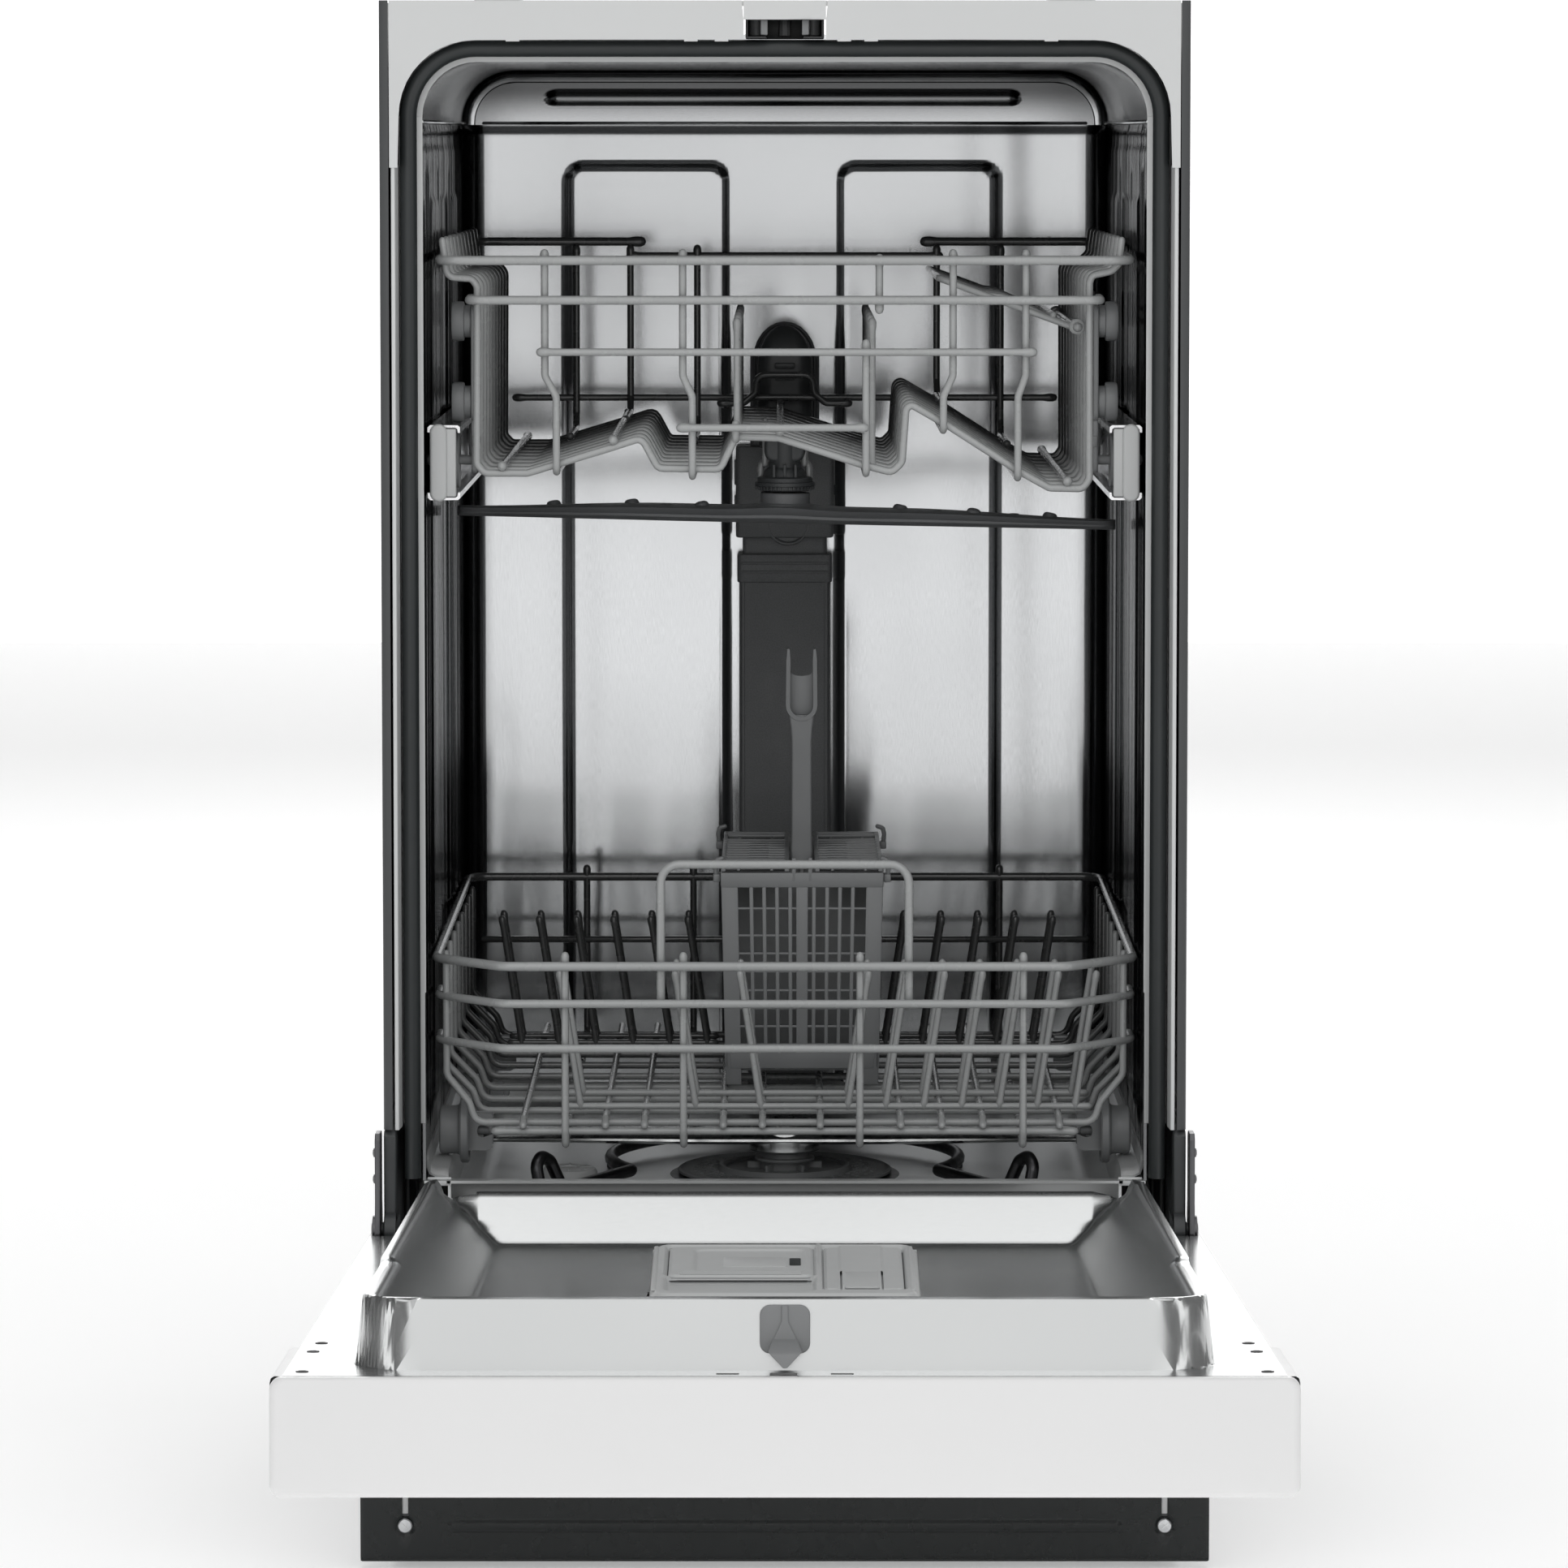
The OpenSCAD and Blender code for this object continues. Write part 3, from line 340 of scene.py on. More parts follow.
def rounded_path(points, bend, steps=4):
    """The points, with each corner turned into an arc."""
    points = [Vector(p) for p in points]
    made = [points[0]]
    for a, b, c in zip(points, points[1:], points[2:]):
        u, v = a - b, c - b
        angle = u.angle(v)
        if angle > 3.05 or bend <= 0:
            made.append(b)
            continue
        cut = min(bend / math.tan(angle / 2), 0.48 * u.length, 0.48 * v.length)
        u.normalize()
        v.normalize()
        radius = cut * math.tan(angle / 2)
        centre = b + (u + v).normalized() * (radius / math.sin(angle / 2))
        start, end = (b + u * cut - centre).normalized(), (b + v * cut - centre).normalized()
        made += [centre + start.slerp(end, k / steps) * radius for k in range(steps + 1)]
    return made + [points[-1]]


def tube(shape, points, radius, bend=0.0, sides=10, flat_ends=False, tip=1.0, steps=4):
    """A round wire along the points, with rounded ends; tip over 1 swells them."""
    path = rounded_path(points, bend, steps)
    normal = (path[1] - path[0]).orthogonal().normalized()
    rings = []

    def ring(centre, along, r):
        side = along.cross(normal)
        turn = [2 * math.pi * k / sides for k in range(sides)]
        return [centre + (normal * math.cos(t) + side * math.sin(t)) * r for t in turn]

    last = len(path) - 1
    for i, p in enumerate(path):
        along = (path[min(i + 1, last)] - path[max(i - 1, 0)]).normalized()
        normal = (normal - along * normal.dot(along)).normalized()
        if i in (0, last) and not flat_ends:
            way = -along if i == 0 else along
            cap = [(0.25, 0.97), (0.75, 0.66), (1.0, 0.0)] if tip == 1.0 else [
                (0.2, 0.98), (0.7, 0.72), (1.0, 0.0), (1.0, -1.1), (1 / tip, -2.2)]
            dome = [ring(p + way * radius * tip * rise, along, radius * tip * part) for part, rise in cap]
            rings += dome if i == 0 else dome[::-1]
        else:
            rings.append(ring(p, along, radius))
    shape.loft(rings)


def lathe(shape, profile, base, axis, sides=28):
    """A turned solid: profile is (radius, height along the axis)."""
    axis = Vector(axis).normalized()
    across = axis.orthogonal().normalized()
    other = axis.cross(across)
    rings = []
    for r, h in profile:
        centre = Vector(base) + axis * h
        turn = [2 * math.pi * k / sides for k in range(sides)]
        rings.append([centre + (across * math.cos(t) + other * math.sin(t)) * max(r, 0.01) for t in turn])
    shape.loft(rings)


def samples(low, high, step, marks=(), near=4.0, fine=1.0):
    """Places from low to high, closer together near the marks."""
    places = [low]
    while places[-1] < high - 1e-6:
        at = places[-1]
        close = any(abs(at + fine / 2 - m) < near for m in marks)
        ahead = [m - near - at for m in marks if m - near > at + 1e-6]
        stride = fine if close else min([step] + ahead)
        places.append(min(high, at + max(stride, 0.2)))
    return places


def sheet(shape, us, vs, point, keep=None):
    """A surface over a grid of places; keep leaves faces out."""
    n = len(vs)
    faces = []
    for i in range(len(us) - 1):
        for j in range(n - 1):
            if keep is None or keep((us[i] + us[i + 1]) / 2, (vs[j] + vs[j + 1]) / 2):
                faces.append((i * n + j, i * n + j + 1, (i + 1) * n + j + 1, (i + 1) * n + j))
    shape.add([point(u, v) for u in us for v in vs], faces)


def relief(shape, xs, ys, height, keep=None):
    """A surface over a grid of x and y, at the height that a function gives."""
    sheet(shape, xs, ys, lambda x, y: (x, y, height(x, y)), keep)


def levels(outline, *heights):
    """The (x, y) outline repeated at each height, as rings."""
    return [[(a, b, h) for a, b in outline] for h in heights]


def ease(t):
    """0 up to 1 with no sharp start or end."""
    t = max(0.0, min(1.0, t))
    return t * t * (3 - 2 * t)


def inside(a, b, a0, a1, b0, b1, r):
    """How far a point lies inside a rounded rectangle; negative outside."""
    da = max(a0 + r - a, a - a1 + r)
    db = max(b0 + r - b, b - b1 + r)
    return r - math.hypot(max(da, 0), max(db, 0)) - min(max(da, db), 0)


def piece(shape, name, body, slot, replaces=(), thick=0.0, sharp=35, finish=None):
    """Makes the object, gives it its finish and hangs it on its body."""
    mesh = bpy.data.meshes.new(name)
    mesh.from_pydata([p * MM for p in shape.points], [], shape.faces)
    work = bmesh.new()
    work.from_mesh(mesh)
    bmesh.ops.remove_doubles(work, verts=work.verts, dist=1e-6)
    loose = [v for v in work.verts if not v.link_faces]
    bmesh.ops.delete(work, geom=loose, context="VERTS")
    bmesh.ops.recalc_face_normals(work, faces=work.faces)
    work.to_mesh(mesh)
    work.free()
    made = bpy.data.objects.new(name, mesh)
    bpy.context.scene.collection.objects.link(made)
    if thick:
        skin = made.modifiers.new("skin", "SOLIDIFY")
        skin.thickness = thick * MM
        skin.offset = 0
        flat = bpy.data.meshes.new_from_object(made.evaluated_get(bpy.context.evaluated_depsgraph_get()))
        made.modifiers.clear()
        made.data = flat
        mesh = flat
    mesh.polygons.foreach_set("use_smooth", [True] * len(mesh.polygons))
    mesh.set_sharp_from_angle(angle=math.radians(sharp))
    mesh.materials.clear()
    mesh.materials.append(finish or FINISH[slot])
    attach(made, body)
    if replaces:
        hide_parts(*replaces)
    return made


def screw(shape, centre, axis, r=3.8, rise=1.6):
    """A pan head with a cross recess."""
    lathe(shape, [(r * 0.45, 0), (r, 0), (r, 0.35 * rise), (0.86 * r, 0.75 * rise), (0.5 * r, rise),
                  (0.01, rise)], centre, axis, 24)
    axis = Vector(axis).normalized()
    across = axis.orthogonal().normalized()
    for way in (across, axis.cross(across)):
        middle = Vector(centre) + axis * (rise + 0.02)
        tube(shape, [middle - way * r * 0.55, middle + way * r * 0.55], 0.32, sides=4, flat_ends=True)


# ---------------------------------------------------------------- camera, light and floor

EYE_HEIGHT = 753.4
EYE_DISTANCE = 3521.7
LOOK_DOWN = 4.575
EYE_SIDE = -0.42
LENS, SHIFT_UP = 154.39, -0.07
WORLD_GLOW = 0.24
camera = bpy.data.objects.new("camera", bpy.data.cameras.new("camera"))
bpy.context.scene.collection.objects.link(camera)
camera.location = (EYE_SIDE * MM, -EYE_DISTANCE * MM, EYE_HEIGHT * MM)
camera.rotation_euler = (math.radians(90 - LOOK_DOWN), 0, 0)
camera.data.lens = LENS
camera.data.sensor_width = 36
camera.data.shift_y = SHIFT_UP
camera.data.clip_start, camera.data.clip_end = 0.1, 40
bpy.context.scene.camera = camera
bpy.context.scene.view_settings.view_transform = "Standard"

world = bpy.data.worlds.new("studio")
world.use_nodes = True
world.node_tree.nodes["Background"].inputs["Color"].default_value = (0.8, 0.8, 0.8, 1)
world.node_tree.nodes["Background"].inputs["Strength"].default_value = WORLD_GLOW
bpy.context.scene.world = world


def softbox(name, place, target, size, power):
    """A rectangular soft light, aimed at a point, in metres."""
    lamp = bpy.data.lights.new(name, "AREA")
    lamp.shape = "RECTANGLE"
    lamp.size, lamp.size_y = size
    lamp.energy = power
    made = bpy.data.objects.new(name, lamp)
    bpy.context.scene.collection.objects.link(made)
    made.location = place
    made.rotation_euler = (Vector(target) - Vector(place)).to_track_quat("-Z", "Y").to_euler()


softbox("front_panel", (0, -5.4, 0.9), (0, 0, 0.6), (6.0, 2.4), 36)
softbox("key_light", (0, -4.6, 3.6), (0, 0, 0.4), (6.0, 3.6), 86)
softbox("top_light", (0, -0.3, 3.2), (0, -0.3, 0.2), (3.0, 2.6), 27)
softbox("left_light", (-3.2, -1.6, 1.6), (0, 0.1, 0.4), (1.0, 2.2), 8)
softbox("right_light", (3.2, -1.6, 1.6), (0, 0.1, 0.4), (1.0, 2.2), 8)
softbox("rear_light", (0, 3.6, 2.2), (0, 0.3, 0.4), (2.4, 1.6), 26)


def paper_sheet(name, outline, glow):
    """A sheet of white paper 18 m wide, swept along an outline of (y, z) points in metres."""
    paint = bpy.data.materials.new(name)
    paint.use_nodes = True
    paper = paint.node_tree.nodes["Principled BSDF"]
    paper.inputs["Base Color"].default_value = (0.93, 0.93, 0.93, 1)
    paper.inputs["Roughness"].default_value = 0.9
    paper.inputs["Emission Color"].default_value = (1, 1, 1, 1)
    paper.inputs["Emission Strength"].default_value = glow
    half = 9.0
    points = [(x, y, z) for y, z in outline for x in (-half, half)]
    strips = [(2 * k, 2 * k + 1, 2 * k + 3, 2 * k + 2) for k in range(len(outline) - 1)]
    mesh = bpy.data.meshes.new(name)
    mesh.from_pydata(points, [], strips)
    mesh.polygons.foreach_set("use_smooth", [True] * len(mesh.polygons))
    mesh.materials.append(paint)
    made = bpy.data.objects.new(name, mesh)
    bpy.context.scene.collection.objects.link(made)


paper_sheet("studio_floor", [(-9, -0.001), (6.5, -0.001)], 0.3)
paper_sheet("studio_backdrop", [(6.5 + 1.5 * math.sin(t), 1.499 - 1.5 * math.cos(t)) for t in quarter(10)]
            + [(8.0, 7.0)], 0.95)


# ---------------------------------------------------------------- tub

SHEET = 1.5
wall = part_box("tub_side_walls")
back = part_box("tub_back_wall")
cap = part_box("tub_cap")
TUB_X = wall[1].x / MM - SHEET
TUB_FRONT = wall[0].y / MM
TUB_BACK = back[1].y / MM - SHEET
TUB_TOP = cap[1].z / MM - SHEET
SEAM = cap[0].z / MM
FLOOR_Z = 172
WALL_FOOT = wall[0].z / MM
REAR_R = 18
HALF = SHEET / 2

WALL_PANELS = ((36, 58, -1.1), (100, 182, 1.3), (206, 300, -1.3), (324, 420, 1.3))
WALL_BEADS = (70, 84, 192, 312, 438, 452)
EMBOSSES = ((-131, -33), (31, 128))


def wall_relief(y, z):
    """Pressed panels and beads of a side wall; positive stands into the tub."""
    h = 0.0
    for y0, y1, rise in WALL_PANELS:
        h += rise * ease(inside(y, z, y0, y1, 226, 722, 12) / 5)
    for at in WALL_BEADS:
        h += 0.9 * ease(1 - abs(y - at) / 3.4) * ease((z - 214) / 20) * ease((742 - z) / 14)
    return h - 0.8 * ease((z - 744) / 5)


def back_relief(x, z):
    """The two embossed panels of the back wall; positive stands into the tub."""
    h = 0.0
    for x0, x1 in EMBOSSES:
        h += 2.4 * ease(inside(x, z, x0, x1, 120, 738, 11) / 4.5)
    return h


# The wall runs from the left front edge round the back to the right front edge.
STRAIGHT = TUB_BACK - REAR_R - TUB_FRONT
TURN = REAR_R * math.pi / 2
WIDTH = 2 * (TUB_X - REAR_R)
AROUND = 2 * STRAIGHT + 2 * TURN + WIDTH


def around(s):
    """Where a run s along the wall lands: the place, the way into the tub, and what part it is."""
    flip = s > AROUND / 2
    if flip:
        s = AROUND - s
    if s < STRAIGHT:
        x, y, n, part = -TUB_X, TUB_FRONT + s, Vector((1, 0, 0)), "side"
    elif s < STRAIGHT + TURN:
        t = (s - STRAIGHT) / REAR_R
        x = -TUB_X + REAR_R - REAR_R * math.cos(t)
        y = TUB_BACK - REAR_R + REAR_R * math.sin(t)
        n, part = Vector((math.cos(t), -math.sin(t), 0)), "corner"
    else:
        x, y, n, part = -TUB_X + REAR_R + (s - STRAIGHT - TURN), TUB_BACK, Vector((0, -1, 0)), "back"
    if flip:
        x, n = -x, Vector((-n.x, n.y, 0))
    return x, y, n, part


def wall_point(s, z):
    """The middle of the sheet at run s and height z, stepped outwards under the cap."""
    x, y, n, part = around(s)
    h = wall_relief(y, z) if part == "side" else 0
    if part == "back":
        h = back_relief(x, z)
    step = 0.9 * ease((z - (SEAM - 5)) / 4)
    return Vector((x, y, z)) + n * (h - HALF - step)


side_marks = [p for y0, y1, _ in WALL_PANELS for p in (y0 + 2, y1 - 2)] + list(WALL_BEADS)
side_s = [m - TUB_FRONT for m in side_marks]
back_s = [STRAIGHT + TURN + (x + TUB_X - REAR_R) for pair in EMBOSSES for x in (pair[0] + 2, pair[1] - 2)]
corner_s = [STRAIGHT + TURN / 2, AROUND - STRAIGHT - TURN / 2]
run = samples(0, AROUND, 22, sorted(side_s + corner_s + back_s + [AROUND - s for s in side_s]), 9, 2.2)
up = samples(WALL_FOOT, SEAM, 34, (224, 234, 712, 728, 742, SEAM - 3), 8, 2.0)
tub_walls = Shape()
sheet(tub_walls, run, up, wall_point)
foot = samples(FLOOR_Z + 1, WALL_FOOT, 7)
back_only = [s for s in run if STRAIGHT <= s <= AROUND - STRAIGHT]
sheet(tub_walls, back_only, foot, wall_point)
piece(tub_walls, "tub_wrap_wall", "cabinet", "stainless", ("tub_side_walls", "tub_back_wall"), SHEET, 40,
      SHADE_PAINTED_WALLS)

# The cap is a pressed lid with rounded shoulders, lapped over the walls at the seam.
SHOULDER = 31


def cap_section():
    """Half the cap's profile from the seam up and across, as (x, z) inside the tub."""
    pts = [(TUB_X, SEAM), (TUB_X, SEAM + 0.5)]
    for t in quarter(10):
        pts.append((TUB_X - SHOULDER + SHOULDER * math.cos(t), TUB_TOP - SHOULDER + SHOULDER * math.sin(t)))
    return pts


half_cap = cap_section()
cap_line = [(-x, z) for x, z in half_cap] + [(x, z) for x, z in reversed(half_cap)]
REAR_EDGE = 7
cap_depths = [TUB_FRONT, TUB_FRONT + 6, 120, 260, 400, TUB_BACK - REAR_EDGE]
cap_rows = [(y, 0.0) for y in cap_depths]
cap_rows += [(TUB_BACK - REAR_EDGE + REAR_EDGE * math.sin(t), REAR_EDGE * (1 - math.cos(t)))
             for t in quarter(6, 1)]


def shrunk(x, z, d):
    """A point of the cap's profile moved inwards by d, kept above the seam."""
    cx = max(-TUB_X + SHOULDER, min(TUB_X - SHOULDER, x))
    cz = min(z, TUB_TOP - SHOULDER)
    away = Vector((x - cx, z - cz))
    if away.length < 1e-6:
        return x, z
    away.normalize()
    return x - away.x * d, z - away.y * d


tub_cap = Shape()
rings = []
for y, d in cap_rows:
    lift = 0.7 if y < TUB_FRONT + 3 else 0.0
    rings.append([(x, y, z + lift * (z > TUB_TOP - 8)) for x, z in
                  (shrunk(a, b, d - HALF) for a, b in cap_line)])
tub_cap.ribbon(rings)


def cap_back(x, z):
    """The cap's rear wall, with a long bead pressed into the tub."""
    bead = 2.6 * ease(inside(x, z, -141, 139, 771.5, 780.5, 4.4) / 3)
    return x, TUB_BACK + HALF - bead, z


reach = TUB_X - REAR_EDGE


def cap_back_point(u, v):
    """Grid over the cap's rear wall, pulled in to its rounded outline."""
    z = SEAM + v * (TUB_TOP - REAR_EDGE - SEAM)
    top_r = SHOULDER - REAR_EDGE
    over = max(0.0, z - (TUB_TOP - REAR_EDGE - top_r))
    wide = reach - top_r + math.sqrt(max(0.0, top_r ** 2 - over ** 2))
    return cap_back(u * wide, z)


sheet(tub_cap, [k / 90 for k in range(-90, 91)], [k / 24 for k in range(25)], cap_back_point)
piece(tub_cap, "tub_cap_lid", "cabinet", "stainless", ("tub_cap",), SHEET, 40, SHADE_PAINTED_CAP)

seam_rib = Shape()
for side in SIDES:
    edge_x = side * (TUB_X - 0.4)
    tube(seam_rib, [(edge_x, TUB_FRONT + 1, SEAM + 1), (edge_x, TUB_BACK - 12, SEAM + 1)], 1.0, sides=8)
tube(seam_rib, [(-TUB_X + 12, TUB_BACK - 0.4, SEAM + 1), (TUB_X - 12, TUB_BACK - 0.4, SEAM + 1)], 1.0,
     sides=8)
piece(seam_rib, "tub_seam_rib", "cabinet", "stainless")

# The floor dishes down to the sump, with a raised lip in front and a wheel ledge at each side.
LEDGE_IN = 179
ledge_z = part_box("wheel_front_left")[0].z / MM + 5 - 0.3
ARM_Y = 235
ON_AXIS = (0, ARM_Y, 0)
SUMP_R = 52
FLOAT_X, FLOAT_Y = -120, 190


def floor_point(x, y):
    """The floor pan: dished round the sump, raised in front, rounded up at the sides and rear."""
    base = FLOOR_Z - HALF + 27 * ease((72 - y) / 40)
    dish = -1.6 * ease(1 - (math.hypot(x, y - ARM_Y) - 56) / 60)
    fillet = 14 * ease((abs(x) - 160) / 22) ** 2 * ease((y - 40) / 40)
    rear = 16 * ease((y - (TUB_BACK - 18)) / 18) ** 2
    rib = 1.2 * ease(1 - abs(abs(x) - 96) / 5) * ease((y - 80) / 20) * ease((440 - y) / 20)
    return x, y, base + dish + fillet + rear + rib


tub_floor = Shape()
across = samples(-LEDGE_IN - 1, LEDGE_IN + 1, 9, (-172, -96, 96, 172), 12, 3)
deep = samples(TUB_FRONT + 0.5, TUB_BACK - 1, 9, (36, 52, 68, TUB_BACK - 8), 12, 3)
sheet(tub_floor, across, deep, floor_point,
      lambda x, y: math.hypot(x, y - ARM_Y) > SUMP_R + 3 and math.hypot(x - FLOAT_X, y - FLOAT_Y) > 15)
for side in SIDES:
    edge = [(LEDGE_IN - 0.2, FLOOR_Z + 4), (LEDGE_IN, ledge_z - 6), (LEDGE_IN + 1, ledge_z - 1.4),
            (LEDGE_IN + 3, ledge_z - HALF), (TUB_X - 5, ledge_z - HALF), (TUB_X - 1.6, ledge_z + 0.8),
            (TUB_X - 0.7, ledge_z + 4), (TUB_X - 0.4, ledge_z + 8)]
    rows = samples(34, TUB_BACK - 1.5, 40, (36,), 4, 2)
    rings = [[(side * x, y, z - 4.5 * ease((40 - y) / 8)) for x, z in edge] for y in rows]
    tub_floor.ribbon(rings)
    front_run = [[(side * x, y, z) for y, z in ((34, WALL_FOOT - 4), (34, ledge_z - 5))]
                 for x in (LEDGE_IN - 1, TUB_X - 0.5)]
    tub_floor.ribbon(front_run)
    side_lip = [[(x * side, y, z) for x in (LEDGE_IN - 1, TUB_X + 1)]
                for y, z in ((TUB_FRONT + 0.5, 198.2), (34, 198.2))]
    tub_floor.ribbon(side_lip)
piece(tub_floor, "tub_floor_pan", "cabinet", "stainless", ("tub_floor",), SHEET, 45, FLOOR_STEEL)

# ---------------------------------------------------------------- face frame, gasket, side panels

SEAL_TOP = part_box("door_gasket")[1].z / MM
SEAL_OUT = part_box("door_gasket")[1].x / MM
SEAL_R = 40
CAB_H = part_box("top_crossbar")[1].z / MM
FRAME_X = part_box("front_frame")[1].x / MM
PANEL_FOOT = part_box("side_panels")[0].z / MM
CAB_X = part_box("side_panels")[1].x / MM
CAB_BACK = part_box("side_panels")[1].y / MM
LOCK_X, LOCK_Z = 21.5, 814
BAR_X = FRAME_X + 0.6


def seal_path(r_shift=0.0, foot_z=202.0, bend=SEAL_R, steps=10):
    """The gasket's outer edge line, moved inwards by r_shift: up the left, across and down the right."""
    x, top, r = SEAL_OUT - r_shift, SEAL_TOP - r_shift, bend - r_shift
    pts = [(-x, foot_z)]
    pts += [(-x + r - r * math.cos(t), top - r + r * math.sin(t))
            for t in quarter(steps)]
    pts += [(-a, b) for a, b in reversed(pts)]
    return pts


face = Shape()
inner_line = seal_path(0.4)[1:-1]
n_turn = len(inner_line) // 2
low_leg = 737.0
left_in = [(-SEAL_OUT - 0.3, low_leg)] + inner_line[:n_turn] + [(-LOCK_X, SEAL_TOP + 0.2), (-LOCK_X, LOCK_Z)]
left_out = [(-BAR_X, low_leg)] + [(-BAR_X, SEAL_TOP - SEAL_R + k * (CAB_H - SEAL_TOP + SEAL_R) / 6)
                                  for k in range(7)]
left_out += [(-BAR_X + 6 + k * (BAR_X - 8 - LOCK_X) / (n_turn - 7), CAB_H) for k in range(n_turn - 6)]
left_out += [(-LOCK_X - 1, CAB_H), (-LOCK_X, CAB_H)]
left_out = left_out[:len(left_in)]
for sign in SIDES:
    face.ribbon([[(-sign * a, 0.0, b) for a, b in line] for line in (left_in, left_out)])
face.ribbon([[(x, 0.0, z) for x in (-LOCK_X, 0, LOCK_X)] for z in (LOCK_Z, CAB_H)])
piece(face, "face_frame", "cabinet", "bright_frame", ("front_frame", "top_crossbar"), 1.2, 40)

frame_bits = Shape()
for side in SIDES:
    strip = [(FRAME_X, 1.6), (FRAME_X - 0.3, 0.3), (FRAME_X - 1.0, 0.0), (FRAME_X - 2.1, 0.1),
             (FRAME_X - 2.4, 0.8), (FRAME_X - 2.6, 5), (FRAME_X - 3.2, 12), (FRAME_X - 3.4, 24),
             (FRAME_X - 2.2, 24.6), (FRAME_X - 1.4, 12)]
    rings = [[(side * x, y, z) for x, y in strip] for z in (PANEL_FOOT, 480, 738)]
    frame_bits.loft(rings)
    flank(frame_bits, side, (TUB_X, 24.3, PANEL_FOOT), (SEAL_OUT + 1, 25.6, SEAL_TOP - SEAL_R), 0.4)
top_fold = [(0.4, CAB_H - 3), (0.5, CAB_H - 1.2), (1.2, CAB_H - 0.3), (2.4, CAB_H), (68, CAB_H),
            (70, CAB_H - 0.6),
            (69, CAB_H - 1.4), (3, CAB_H - 1.3), (1.6, CAB_H - 1.8), (1.5, CAB_H - 3)]
frame_bits.loft([[(x, y, z) for y, z in top_fold] for x in (-BAR_X, BAR_X)])
rim_out = seal_path(-0.2, 300)
rim_in = seal_path(SEAL_OUT - TUB_X + 0.5, 300)
frame_bits.ribbon([[(a, 24.8, b) for a, b in rim_out], [(a, 24.8, b) for a, b in rim_in]])
piece(frame_bits, "face_frame_folds", "cabinet", "bright_frame")

slot_marks = Shape()
for x in (-142, -49, -33, 31, 45, 139):
    block(slot_marks, (x - 3.6, -0.75, 802.6), (x + 3.6, 0.4, 804.0), 0.3)
piece(slot_marks, "crossbar_nibs", "cabinet", "bright_frame")


# The gasket's section, as (how far in from its outer edge line, y).
GASKET = [(0.2, 23.8), (0.1, 16.5), (0.7, 13.6), (2.2, 12.2), (4.4, 12.0), (6.4, 12.6), (7.8, 14.2),
          (8.9, 16.8), (8.9, 18.0), (7.6, 19.4), (6.6, 20.6), (7.2, 22.2), (7.4, 23.8)]
gasket = Shape()
path = seal_path(0.0, 202.0, SEAL_R, 14)
rings = []
for k, (a, b) in enumerate(path):
    before, after = path[max(0, k - 1)], path[min(len(path) - 1, k + 1)]
    along = Vector((after[0] - before[0], after[1] - before[1])).normalized()
    inner = Vector((along.y, -along.x))
    rings.append([(a + inner.x * d, y, b + inner.y * d) for d, y in GASKET])
gasket.loft(rings)
piece(gasket, "gasket_profile", "cabinet", "seal_rubber", ("door_gasket",), sharp=60)


def panel_relief(y, z):
    """A rectangle pressed into the side panel, and a smaller one pressed back out."""
    rise = -0.9 * ease(inside(y, z, 60, 440, 300, 760, 26) / 8)
    rise += 0.9 * ease(inside(y, z, 120, 380, 380, 690, 26) / 8)
    return rise


panels = Shape()
for side in SIDES:
    ys = samples(4, CAB_BACK - 4, 24, (62, 122, 378, 438), 10, 2.5)
    zs = samples(PANEL_FOOT, CAB_H, 30, (304, 384, 686, 756), 10, 2.5)
    sheet(panels, ys, zs, lambda y, z: (side * (CAB_X - 0.5 + panel_relief(y, z)), y, z))
    for start, way in ((4, -1), (CAB_BACK - 4, 1)):
        rounding = [(CAB_X - 0.5, start), (CAB_X - 0.6, start + way * 1.6), (CAB_X - 1.2, start + way * 2.8),
                    (CAB_X - 2.4, start + way * 3.4), (CAB_X - 4.9, start + way * 3.5)]
        panels.ribbon([[(side * x, y, z) for x, y in rounding] for z in (PANEL_FOOT, 400, 600, CAB_H)])
piece(panels, "side_panel_skins", "cabinet", "side_panel_grey", ("side_panels",), 1.0, 40)

# ---------------------------------------------------------------- door lock

lock = Shape()
lock_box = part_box("door_lock")
lx, lz0, lz1 = lock_box[1].x / MM, lock_box[0].z / MM, lock_box[1].z / MM
for side in SIDES:
    flank(lock, side, (9.6, 2.2, lz0), (lx, 34, lz0 + 1.1), 0.4)
    flank(lock, side, (lx - 1.3, 2.0, lz0), (lx, 34, lz1), 0.4)
    lathe(lock, [(0, 0), (1.5, 0), (1.5, 11.2), (1.1, 11.8), (0, 11.9)], (side * 15, 20, lz0 + 0.6), UP, 16)
    for y in (8, 14, 26):
        block(lock, (side * 12 - 2, y, lz1 - 3), (side * 12 + 2, y + 1.2, lz1), 0.3)
block(lock, (-lx, 2, lz1 - 1.2), (lx, 34, lz1), 0.4)
block(lock, (-lx, 32.8, lz0), (lx, 34, lz1), 0.4)
block(lock, (-3.2, 20, lz0 + 1), (3.2, 33, lz1 - 1), 1.0)
block(lock, (-1.6, 13, lz0 + 1.5), (1.6, 32, lz1 - 1.2), 0.5)
piece(lock, "lock_housing", "cabinet", "black_plastic", ("door_lock",))
